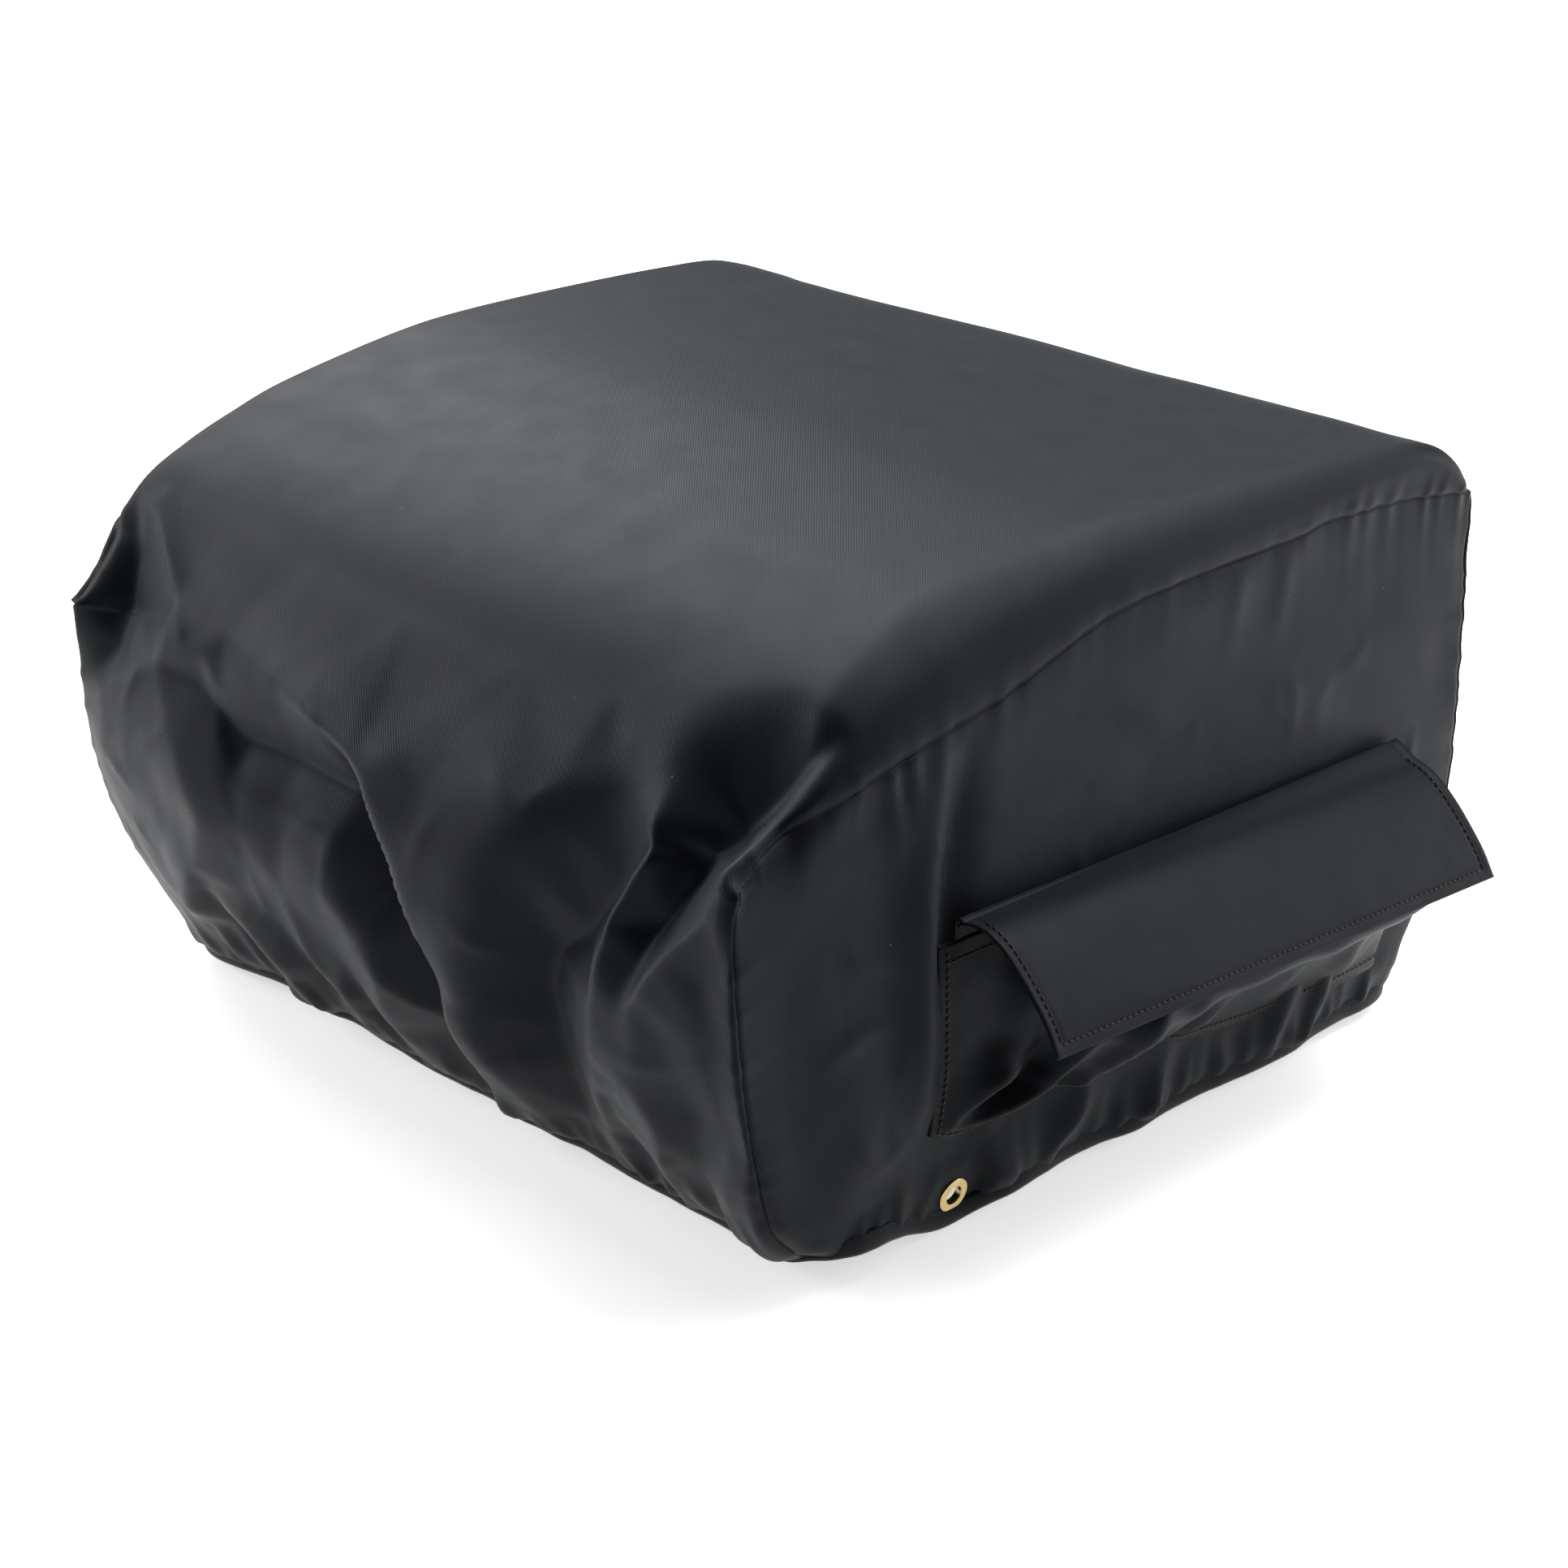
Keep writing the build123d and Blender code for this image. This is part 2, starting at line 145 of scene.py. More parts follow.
profile = three_runs(front_wall, lid, back_wall)
profile[:, 0] += FRONT
FRONT_EAR = WALL_ROWS - 1
BACK_EAR = FRONT_EAR + LID_ROWS - 1
rows = len(profile)
row = np.arange(rows)
run = length_along(profile)
slope = np.gradient(profile, run, axis=0)
slope /= np.linalg.norm(slope, axis=1)[:, None]
outward = np.stack([-slope[:, 1], slope[:, 0]], axis=1)

# The cloth rolls over the lid's right edge by the radius given at each place behind the front.
edge_roll = [(0, 8), (20, 14), (50, 24), (98, 36), (150, 44), (236, 36), (317, 28), (404, 21)]
edge_roll += [(465, 13), (512, 10), (527, 8)]
places, radii = np.array(edge_roll, float).T
on_lid = (row >= FRONT_EAR) & (row <= BACK_EAR)


def corner_radius(z):
    """Rounding of the upright corners, which open out where the elastic draws them in."""
    return 2.5 + 24 * pull(z)


wall_radius = corner_radius(profile[:, 1])
roll = np.where(on_lid, np.interp(profile[:, 0] - FRONT, places, radii), wall_radius)
half_width = HALF_WIDTH - PULL_END * pull(profile[:, 1])


def evened(line, times):
    """Evens out a line in place by its neighbours, with its ends kept."""
    for _ in range(times):
        line[1:-1] = (line[:-2] + line[1:-1] + line[2:]) / 3
    return line


ROUND_DROP = 0.293  # drop of a rounded corner at its middle, as a share of its radius
LEAST_DROP = 2.5
PUSH_AT = 303.0  # the lid's front corner presses the cloth out here, up from the hem
PUSH_REACH = 30.0


def corner_seam(corner, push):
    """The seam of one end, with how far it drops below the long panel and how far it's moved."""
    front = spline(corner, WALL_ROWS, wall_steps)[:-1]
    over = spline([corner[-1], *arch, back_corner[0]], LID_ROWS, lid_steps)
    back = spline(back_corner, WALL_ROWS, wall_steps)[1:]
    seam = np.vstack([front, over, back])
    seam[:, 0] += FRONT
    drop = np.where(on_lid, ((profile - seam) * outward).sum(axis=1), ROUND_DROP * wall_radius)
    drop = evened(np.maximum(drop, LEAST_DROP), 6)
    moved = seam - (profile - outward * drop[:, None])
    moved += outward * (push * np.exp(-(((run - PUSH_AT) / PUSH_REACH) ** 2)))[:, None]
    return drop, moved, evened(moved.copy(), 90)


roll = evened(roll, 6)
end_seams = {1: corner_seam(right_corner, 0), -1: corner_seam(left_corner, 9)}
LEFT_ROLL = 0.32  # the cloth is drawn tighter over the lid's left edge
EAR_REACH = 105.0  # how far in from a seam the cloth leaves the hang of the middle
PINCH_REACH = 20.0  # and how far in the pinch of the seam itself shows


def across(u):
    """Points of the long panel at share u of the way from its centre to its right seam."""
    radius = np.where(on_lid, roll * LEFT_ROLL, roll) if u < 0 else roll
    drop, sharp, even = end_seams[-1 if u < 0 else 1]
    turn = np.where(drop < radius, np.arccos(np.clip(1 - drop / radius, -1, 1)), pi / 2)
    flat = half_width - radius
    straight = np.clip(drop - radius, 0, None)
    whole = flat + radius * turn + straight
    s = abs(u) * whole
    angle = np.clip((s - flat) / radius, 0, turn)
    x = np.where(s < flat, s, flat + radius * np.sin(angle))
    depth = radius * (1 - np.cos(angle)) + np.clip(s - flat - radius * turn, 0, None)
    pulled = (np.clip((s - whole + EAR_REACH) / EAR_REACH, 0, 1) ** 2)[:, None]
    pinched = (np.clip((s - whole + PINCH_REACH) / PINCH_REACH, 0, 1) ** 2)[:, None]
    point = profile - outward * depth[:, None] + even * pulled + (sharp - even) * pinched
    return np.stack([np.sign(u) * x, point[:, 0], point[:, 1]], axis=1), np.sign(u) * s


shares = 2 * crowd(COLUMNS) - 1
made = [across(u) for u in shares]
panel = np.stack([points for points, _ in made], axis=1)
panel_s = np.stack([s for _, s in made], axis=1)
panel_q = np.repeat(run[:, None], COLUMNS, axis=1)


eyelet_box = np.array([list(corner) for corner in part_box("grommet_right_eyelet")]) / MM
EYELET_Y, EYELET_Z = eyelet_box.mean(axis=0)[1:]
HEM_SAG = 5.0  # the end's hem hangs lower at its middle
EYELET_HEM = 4.0  # height of the hem below an eyelet
EYELET_REACH = 30.0
HALF_CORNER = 0.707  # an upright corner turns 45 degrees before the seam


def end_panel(side):
    """Grid of an end panel that meets the long panel's edge all round."""
    edge = panel[:, -1 if side > 0 else 0]
    front, arch, back = edge[: FRONT_EAR + 1], edge[FRONT_EAR : BACK_EAR + 1], edge[BACK_EAR:][::-1]
    a = lid_steps[None, :, None]
    b = wall_steps[:, None, None]
    hem_line = front[0] + (back[0] - front[0]) * a[0]
    hem_line[:, 2] -= HEM_SAG * np.sin(pi * a[0, :, 0])
    beside = np.exp(-(((hem_line[:, 1] - EYELET_Y) / EYELET_REACH) ** 2))
    hem_line[:, 2] -= (hem_line[:, 2] - EYELET_HEM) * beside
    hem_line[:, 0] = side * (HALF_WIDTH - PULL_END * pull(hem_line[:, 2]))
    sides = front[:, None] * (1 - a) + back[:, None] * a
    ends = hem_line[None] * (1 - b) + arch[None] * b
    corners = (front[0] * (1 - a) + back[0] * a) * (1 - b) + (front[-1] * (1 - a) + back[-1] * a) * b
    grid = sides + ends - corners
    y, z = grid[..., 1], grid[..., 2]
    curve = corner_radius(z)
    turned_in = 0
    for distance in (abs(y - front[:, None, 1]), abs(back[:, None, 1] - y)):
        share = np.clip(HALF_CORNER - distance / curve, 0, HALF_CORNER)
        turned_in = turned_in + curve * (1 - np.sqrt(1 - share**2))
    grid[..., 0] = side * (HALF_WIDTH - PULL_END * pull(z) - turned_in)
    return grid


def join_edges(grid, side, shell):
    """Moves an end panel's rim onto the long panel's edge and eases the cloth beside it."""
    edge = shell[:, -1 if side > 0 else 0]
    front, arch, back = edge[: FRONT_EAR + 1], edge[FRONT_EAR : BACK_EAR + 1], edge[BACK_EAR:][::-1]
    reach = 7.0  # grid steps
    down = np.arange(WALL_ROWS)[::-1, None, None]
    right = np.arange(LID_ROWS)[None, :, None]
    left = right[:, ::-1]
    from_front = (front - grid[:, 0])[:, None] * np.exp(-right / reach)
    from_back = (back - grid[:, -1])[:, None] * np.exp(-left / reach)
    grid = grid + from_front + from_back
    grid = grid + (arch - grid[-1])[None] * np.exp(-down / reach)
    grid[:, 0], grid[:, -1], grid[-1] = front, back, arch
    return grid


# ---- Folds ----------------------------------------------------------------------------------
# Below the lid the cloth is slack. It hangs in crests and valleys that run from the lid's corners,
# with straight cloth between them, and the elastic draws short gathers into it above the hem.


def nearest_on(path, a, b):
    """Distance to a path, the side it is on, the path's height there and its direction."""
    best = np.full(a.shape, 1e9)
    side = np.ones(a.shape)
    height = np.zeros(a.shape)
    across_a = np.zeros(a.shape)
    across_b = np.zeros(a.shape)
    for start, end in zip(path, path[1:]):
        step = end[:2] - start[:2]
        length = max(np.hypot(*step), 1e-6)
        along = np.clip(((a - start[0]) * step[0] + (b - start[1]) * step[1]) / length**2, 0, 1)
        off_a = a - start[0] - along * step[0]
        off_b = b - start[1] - along * step[1]
        distance = np.hypot(off_a, off_b)
        nearer = distance < best
        best[nearer] = distance[nearer]
        turn = step[0] * off_b - step[1] * off_a
        side[nearer] = np.sign(turn)[nearer]
        height[nearer] = (start[2] + along * (end[2] - start[2]))[nearer]
        across_a[nearer] = -step[1] / length
        across_b[nearer] = step[0] / length
    return best, side, height, across_a, across_b


def add_fold(field, a, b, points, left, right, crest=4.0, lean=0.0):
    """Adds a fold along points (a, b, height) to a field of (height, shift along a, along b).

    Its flanks reach left and right of the path in mm, crest rounds its top, and lean tips it
    over to the left.
    """
    path = spline(points, max(6, int(len(points) * 5)))
    reach = 3.2 * max(left, right) + crest
    near = (a > path[:, 0].min() - reach) & (a < path[:, 0].max() + reach)
    near &= (b > path[:, 1].min() - reach) & (b < path[:, 1].max() + reach)
    distance, side, height, across_a, across_b = nearest_on(path, a[near], b[near])
    width = np.where(side > 0, left, right)
    beyond = (np.sqrt(distance**2 + crest**2) - crest) / width
    rise = height * np.exp(-(beyond**1.25))
    field[0][near] += rise
    field[1][near] += across_a * lean * rise
    field[2][near] += across_b * lean * rise


def blur(field, reach):
    """Evens a grid out over about reach steps."""
    steps = np.arange(-3 * reach, 3 * reach + 1)
    weights = np.exp(-(steps**2) / (2 * reach**2))
    weights /= weights.sum()
    for axis in (0, 1):
        padding = [(0, 0), (0, 0)]
        padding[axis] = (3 * reach, 3 * reach)
        padded = np.pad(field, padding, mode="edge")
        count = field.shape[axis]
        field = sum(w * np.take(padded, range(k, k + count), axis=axis) for k, w in enumerate(weights))
    return field


def taut(creases, a, b, rounding=2):
    """Height at places (a, b) of cloth that is drawn straight from crease to crease."""
    pitch = 1.5
    places, heights, runs = [], [], []
    for crease in creases:
        for i, (across_place, up_place, height) in enumerate(crease):
            if i:
                runs.append((len(places) - 1, len(places)))
            places.append(Vector((across_place, up_place)))
            heights.append(height)
    corners, _, facets, sources, _, _ = delaunay_2d_cdt(places, runs, [], 0, 0.5)
    corner_at = np.array([list(corner) for corner in corners])
    known = np.array([list(place) for place in places])
    height_at = []
    for corner, source in zip(corner_at, sources):
        if source:
            height_at.append(heights[source[0]])
        else:
            near = 1 / (np.hypot(*(known - corner).T) + 0.1) ** 3
            height_at.append((near * heights).sum() / near.sum())
    height_at = np.array(height_at)
    low = corner_at.min(axis=0)
    size = np.ceil((corner_at.max(axis=0) - low) / pitch).astype(int) + 1
    field = np.zeros((size[1], size[0]))
    for facet in facets:
        first, second, third = corner_at[list(facet)]
        box_low = np.floor((np.minimum(np.minimum(first, second), third) - low) / pitch).astype(int)
        box_high = np.ceil((np.maximum(np.maximum(first, second), third) - low) / pitch).astype(int) + 1
        x, y = np.meshgrid(
            low[0] + pitch * np.arange(box_low[0], box_high[0]),
            low[1] + pitch * np.arange(box_low[1], box_high[1]),
        )
        area = np.cross(second - first, third - first)
        if abs(area) < 1e-6:
            continue
        v = ((x - first[0]) * (third[1] - first[1]) - (y - first[1]) * (third[0] - first[0])) / area
        w = ((second[0] - first[0]) * (y - first[1]) - (second[1] - first[1]) * (x - first[0])) / area
        inside = (v > -1e-3) & (w > -1e-3) & (v + w < 1 + 1e-3)
        rise = height_at[facet[0]] * (1 - v - w) + height_at[facet[1]] * v + height_at[facet[2]] * w
        part = field[box_low[1] : box_high[1], box_low[0] : box_high[0]]
        inside = inside[: part.shape[0], : part.shape[1]]
        part[inside] = rise[: part.shape[0], : part.shape[1]][inside]
    field = blur(field, rounding)
    column = np.clip((a - low[0]) / pitch, 0, size[0] - 1.001)
    line = np.clip((b - low[1]) / pitch, 0, size[1] - 1.001)
    c, r = column.astype(int), line.astype(int)
    u, v = column - c, line - r
    lower = field[r, c] * (1 - u) + field[r, c + 1] * u
    upper = field[r + 1, c] * (1 - u) + field[r + 1, c + 1] * u
    return (lower * (1 - v) + upper * v) * (b < corner_at[:, 1].max())


def waves(shape, cell, generator):
    """Smooth seeded unevenness with lumps of about cell grid steps."""
    coarse = generator.normal(size=(int(shape[0] / cell) + 4, int(shape[1] / cell) + 4))
    rows_at = np.linspace(1, coarse.shape[0] - 2.001, shape[0])
    columns_at = np.linspace(1, coarse.shape[1] - 2.001, shape[1])

    def weights(at):
        whole = np.floor(at).astype(int)
        t = at - whole
        cubic = [
            -t**3 + 3 * t**2 - 3 * t + 1,
            3 * t**3 - 6 * t**2 + 4,
            -3 * t**3 + 3 * t**2 + 3 * t + 1,
            t**3,
        ]
        return whole, [w / 6 for w in cubic]

    row_at, row_weights = weights(rows_at)
    column_at, column_weights = weights(columns_at)
    made = np.zeros(shape)
    for i, row_weight in enumerate(row_weights):
        for j, column_weight in enumerate(column_weights):
            picked = coarse[np.clip(row_at + i - 1, 0, coarse.shape[0] - 1)][
                :, np.clip(column_at + j - 1, 0, coarse.shape[1] - 1)
            ]
            made += row_weight[:, None] * column_weight[None] * picked
    return made


def normals(grid):
    """Unit normals of a grid of points."""
    normal = np.cross(np.gradient(grid, axis=1), np.gradient(grid, axis=0))
    return normal / np.maximum(np.linalg.norm(normal, axis=2), 1e-9)[..., None]


def turned_out(normal, sample, axis):
    """The normals, turned over if the one at sample looks inward along the axis."""
    return -normal if normal[sample][axis] < 0 else normal


def unit(vectors):
    """The vectors at length 1."""
    return vectors / np.maximum(np.linalg.norm(vectors, axis=-1), 1e-9)[..., None]


# Crests and valleys of the long panel's front: points across from the middle and up from the
# front hem, in mm, each with its height off the even cloth. Between them the cloth is taut.
front_creases = [
    # the crease down from the lid's left corner
    [(-270, 308, 2), (-222, 279, 6), (-186, 249, 7), (-156, 228, 7), (-138, 211, 3), (-124, 200, -2),
     (-115, 193, -7)],
    # the edge of the apron that hangs from the lid, leaned over its own foot, and that foot
    [(-270, 308, 2), (-192, 268, 4), (-141, 243, 7), (-86, 230, 11), (-49, 224, 14), (-13, 217, 15),
     (3, 209, 15), (14, 197, 15), (32, 176, 15), (47, 150, 14), (53, 128, 13), (55, 98, 11), (52, 60, 8),
     (30, 0, 2)],
    [(-18, 205, -12), (-5, 198, -16), (8, 182, -22), (24, 164, -25), (36, 143, -26), (42, 124, -25),
     (45, 97, -21), (42, 60, -13), (18, 0, -1)],
    [(-158, 214, 0), (-115, 193, -7), (-79, 193, -11), (-29, 189, -14), (-5, 198, -16)],
    # the lit tongue left of the dark hollow, and the gathers below it
    [(-29, 189, -14), (-38, 164, 0), (-50, 138, 7), (-28, 128, 8), (-8, 118, 9), (-6, 97, 9),
     (-26, 46, 6), (-38, 8, 1)],
    [(-80, 156, 0), (-84, 122, 6), (-97, 88, 1), (-92, 50, -5), (-102, 8, -2)],
    [(-75, 71, 5), (-58, 60, 8), (-70, 26, 5), (-78, 6, 1)],
    [(-46, 84, 0), (-44, 50, -4), (-54, 8, -1)],
    [(-132, 172, 4), (-144, 142, 9), (-163, 107, 10), (-196, 66, 8), (-214, 40, 2)],
    [(-158, 97, 4), (-130, 78, 9), (-117, 58, 10), (-126, 20, 6), (-136, 4, 1)],
    [(-170, 88, 1), (-160, 54, -7), (-164, 10, -4)],
    [(-112, 146, 5), (-126, 100, 4)],
    [(-124, 172, 1), (-104, 168, 2), (-84, 166, 0)],
    # the hollow behind the left corner and the slack below it
    [(-270, 192, 1), (-246, 190, 2), (-220, 200, 4), (-196, 214, 5)],
    [(-260, 292, -3), (-247, 264, -10), (-238, 238, -13), (-240, 212, -8)],
    [(-264, 150, 3), (-222, 142, 4), (-184, 126, 4)],
    [(-240, 92, 1), (-208, 104, 3)],
    # the crest beyond the valley, which turns round the foot of the deep corner fold as its rim
    [(172, 250, 2), (196, 238, 6), (203, 229, 8), (190, 211, 10), (181, 193, 12), (179, 176, 12),
     (184, 162, 11), (194, 154, 10), (209, 155, 10), (221, 167, 11), (234, 185, 11), (249, 203, 10),
     (259, 222, 9), (264, 246, 6), (266, 276, 4), (268, 302, 2), (268, 324, 0)],
    [(179, 176, 12), (175, 150, 11), (167, 120, 9), (156, 92, 5), (138, 46, 1), (128, 4, 0)],
    [(262, 314, -6), (246, 292, -19), (230, 262, -25), (216, 228, -19), (207, 196, -8), (203, 176, 2)],
    [(163, 252, 1), (174, 270, 2), (190, 289, 2), (211, 306, 2), (239, 321, 1), (258, 328, 0)],
    # the small folds under the rim
    [(224, 150, 6), (246, 148, 4)],
    [(160, 106, 5), (196, 109, 9), (208, 92, 10), (190, 48, 7), (176, 6, 1)],
    [(160, 84, 1), (156, 40, -5), (150, 6, -2)],
    [(236, 110, 1), (224, 70, -2), (214, 20, -2)],
    [(244, 60, 5), (232, 30, 6), (226, 6, 1)],
    [(252, 186, 3), (258, 154, 1), (256, 100, 0)],
]
# The swell to the right of the apron's edge turns slowly into the valley beyond it
swell_creases = [
    [(162, 250, 1), (132, 229, 8), (107, 203, 14), (92, 174, 17), (80, 146, 17), (72, 118, 15),
     (70, 70, 9), (44, 0, 2)],
    [(184, 228, -8), (168, 200, -15), (148, 172, -19), (122, 150, -20), (113, 123, -19), (116, 98, -17),
     (117, 72, -14), (108, 29, -8), (100, 0, -2)],
    [(40, 196, 15), (60, 160, 17)],
]
front_creases += swell_creases
# The even cloth around the folds
front_creases += [[(place, -6, 0)] for place in range(-280, 300, 40)]
front_creases += [[(side * 282, up, 0)] for side in (-1, 1) for up in range(0, 346, 30)]
front_creases += [[(place, 345, 0)] for place in range(-240, 260, 60)]
front_creases += [[(-180, 306, 0)], [(-110, 296, 0)], [(-20, 292, 0)], [(70, 288, 0)], [(130, 288, 0)]]

# Folds over the crests: points as above, how far the flanks reach to the left and right of the
# way the points run, the rounding of the crest, and how far it leans over to the left.
front_folds = [
    ([(-60, 226, 0.5), (-13, 217, 2), (12, 200, 3), (32, 176, 3), (50, 145, 3), (55, 98, 2),
      (52, 60, 0.5)],
     20, 10, 2.5, -2.6),
    ([(250, 204, 1), (234, 185, 2.5), (221, 167, 3), (211, 157, 2)], 10, 8, 2, -2.0),
    ([(196, 238, 1), (190, 211, 2), (181, 193, 2), (179, 176, 1)], 10, 8, 2, 1.6),
    ([(-245, 300, 1), (-205, 262, 1.6), (-178, 236, 1)], 4, 6, 1.2),
    ([(-146, 214, 0.4), (-136, 190, 1.4), (-118, 168, 0.4)], 4, 5, 1.2),
    ([(-170, 92, 0.4), (-150, 84, 1.2), (-118, 88, 0.8), (-100, 96, 0.2)], 3, 4, 1.0),
    ([(-118, 88, 0.5), (-108, 100, 1.2), (-112, 118, 0.2)], 3, 4, 1.0),
    ([(174, 128, 0.3), (223, 131, 1.5), (258, 152, 0.4)], 3, 4, 1.0),
]

# Folds of both end panels: points along the end and up, with the height there.
end_folds = [
    ([(-143, 274, 2), (-150, 225, 8), (-157, 180, 11), (-158, 130, 10), (-156, 92, 5)], 11, 14, 4),
    ([(-126, 272, -1), (-131, 230, -8), (-135, 192, -9), (-138, 160, -5)], 8, 13, 4),
    ([(-178, 262, 3), (-172, 230, 1)], 4, 6, 2),
    ([(-165, 266, 3.5), (-163, 240, 0.5)], 4, 5, 2),
    ([(-214, 190, 0.4), (-196, 176, 2.2), (-176, 168, 0.4)], 4, 5, 1.2),
    ([(-222, 132, 0.4), (-200, 140, 2), (-178, 138, 0.4)], 4, 5, 1.2),
    ([(-20, 262, 0.2), (10, 240, 1.2), (44, 232, 0.2)], 7, 9, 2.5),
    ([(96, 240, 0.2), (120, 226, 1.2), (150, 224, 0.2)], 7, 9, 2.5),
    ([(74, 309, 2.5), (64, 262, 0.3)], 8, 6, 3),
    ([(113, 309, 2.5), (100, 258, 0.3)], 9, 6, 3),
    ([(-30, 66, 3), (-42, 40, 10), (-56, 22, 5)], 9, 12, 2.5),
    ([(32, 48, 3), (22, 24, 9), (16, 12, 4)], 9, 11, 2.5),
    ([(140, 62, 4), (123, 33, 9), (116, 16, 4)], 9, 12, 2.5),
    ([(174, 56, 4), (148, 18, 9)], 9, 12, 2.5),
    ([(-100, 48, 2), (-92, 28, 7), (-84, 12, 3)], 10, 9, 3),
    ([(-190, 120, 2), (-198, 70, 5), (-206, 34, 2)], 22, 22, 8),
]


def hem_gathers(field, a, b, low, high, height_at, generator):
    """Adds the short folds in which the elastic gathers the cloth above the hem."""
    place = low
    while place < high:
        length = generator.uniform(18, 62)
        wander = generator.normal() * 5
        height = generator.uniform(1.6, 4.2)
        base = height_at(place)
        points = [
            (place, base + 4, 0.5 * height),
            (place + 0.3 * wander, base + 0.35 * length, height),
            (place + wander, base + length, 0.1),
        ]
        flank = generator.uniform(3.4, 6.5)
        add_fold(field, a, b, points, flank, flank * generator.uniform(0.8, 1.5), 1.8)
        place += generator.uniform(9, 22)


def crumples(field, a, b, low, high, count, generator):
    """Adds faint creases that stay in the cloth from its folding, over a box of places."""
    for _ in range(count):
        middle = np.array([generator.uniform(low[k], high[k]) for k in (0, 1)])
        angle = generator.uniform(0, pi)
        way = np.array([np.cos(angle), np.sin(angle)]) * generator.uniform(9, 26)
        bow = np.array([-way[1], way[0]]) * generator.uniform(-0.25, 0.25)
        height = generator.uniform(0.5, 1.2)
        ends = [(*(middle - way), 0.05), (*(middle + bow), height), (*(middle + way), 0.05)]
        flank = generator.uniform(2.4, 4.0)
        add_fold(field, a, b, ends, flank, 1.6 * flank, 0.9)


def seam_puckers(depth, along, spread, generator):
    """Adds the small dimples beside a seam, over cloth within spread of it."""
    made = np.zeros(along.shape)
    place = along.min()
    while place < along.max():
        place += generator.uniform(7, 24)
        height = generator.uniform(-0.7, 1.1)
        wide = generator.uniform(2.5, 5.0)
        made += height * np.exp(-(((along - place) / wide) ** 2))
    return made * np.exp(-((depth / spread) ** 2))


panel_normal = normals(panel)
field = [np.zeros(panel_s.shape) for _ in range(3)]
for points, left, right, *more in front_folds:
    add_fold(field, panel_s, panel_q, points, left, right, *more)
hem_gathers(field, panel_s, panel_q, -262, 262, lambda s: 0.0, random)
crumples(field, panel_s, panel_q, (-255, 40), (255, 235), 40, random)
back_run = run[-1] - panel_q
crumples(field, panel_s, back_run, (-240, 40), (240, 230), 14, random)
hem_gathers(field, panel_s, back_run, -262, 262, lambda s: 0.0, random)
hem_gathers(field, panel_s, back_run, -262, 262, lambda s: 12.0, random)
edge_distance = np.abs(panel_s[:, -1])[:, None] - np.abs(panel_s)
crisp = taut(front_creases, panel_s, panel_q)
soft = taut(front_creases, panel_s, panel_q, 7)
soft_lines = [[place[:2] for place in swell_creases[0][:6]]]
soft_lines += [[(150, 240), (174, 266), (196, 288), (226, 308)]]
soft_places = np.vstack([spline(line, 24) for line in soft_lines])
to_swell = np.min([np.hypot(panel_s - x, panel_q - y) for x, y in soft_places], axis=0)
eased = 1 - smooth(8, 34, to_swell)  # the swell and the lid's edge turn over without a crease
# Near the seams the folds run out, and the seam's own line holds the cloth.
free = np.where(panel_s < 0, smooth(0, 30, edge_distance), smooth(0, 8, edge_distance))
field[0] += (crisp * (1 - eased) + soft * eased) * free
field[0] += seam_puckers(edge_distance, panel_q, 9, random)
# The lid carries the cloth, so it stays smooth there and slack everywhere else.
slack = 1 - smooth(215, 320, panel_q) * smooth(-790, -700, -panel_q)
field[0] += (0.25 + 1.3 * slack) * waves(panel_s.shape, 15, random)
field[0] += (0.05 + 0.4 * slack) * waves(panel_s.shape, 6, random)
GROOVE = 1.5  # the cloth dips this far into a seam
field[0] -= GROOVE * np.exp(-((edge_distance / 2.2) ** 2))
across_way = unit(np.gradient(panel, axis=1))
up_way = unit(np.gradient(panel, axis=0))
shell = panel + panel_normal * field[0][..., None]
shell += across_way * field[1][..., None] + up_way * field[2][..., None]

end_grids = {}
for side in (1, -1):
    grid = join_edges(end_panel(side), side, panel)
    normal = normals(grid) * side
    y, z = grid[..., 1], grid[..., 2]
    # The cloth lies flat where an eyelet clamps it.
    clamped = smooth(11, 24, np.hypot(y - EYELET_Y, z - EYELET_Z))
    field = [np.zeros(y.shape) for _ in range(3)]
    for points, left, right, *more in end_folds:
        add_fold(field, y, z, points, left, right, *more)
    hem_gathers(field, y, z, -205, 225, lambda place: 8.0, random)
    crumples(field, y, z, (-225, 60), (230, 235), 22, random)
    field[0] += 1.5 * waves(y.shape, 14, random) + 0.4 * waves(y.shape, 6, random)
    rise, shift_along, shift_up = (part * clamped for part in field)
    grid = grid + normal * rise[..., None]
    grid = grid + unit(np.gradient(grid, axis=1)) * shift_along[..., None]
    grid = grid + unit(np.gradient(grid, axis=0)) * shift_up[..., None]
    grid = join_edges(grid, side, shell)
    beside = np.hypot(grid[..., 1] - EYELET_Y, grid[..., 2] - EYELET_Z)
    clamp_line = side * (HALF_WIDTH - PULL_END * pull(grid[..., 2]))
    grid[..., 0] += (clamp_line - grid[..., 0]) * (1 - smooth(9.5, 24, beside))
    end_grids[side] = grid


def node(tree, kind, links=None, **settings):
    """Adds a node: settings name its properties or, as _0, _1 or an input's name, its sockets."""
    made = tree.nodes.new(kind)
    for name, value in settings.items():
        if hasattr(made, name):
            setattr(made, name, value)
        else:
            key = int(name[1:]) if name.startswith("_") else name.replace("_", " ")
            made.inputs[key].default_value = value
    for key, socket in (links or {}).items():
        tree.links.new(socket, made.inputs[key])
    return made


def linear(hex_colour):
    """A linear colour from an sRGB hex value."""
    parts = [int(hex_colour[i : i + 2], 16) / 255 for i in (1, 3, 5)]
    return (*[c / 12.92 if c <= 0.04045 else ((c + 0.055) / 1.055) ** 2.4 for c in parts], 1)


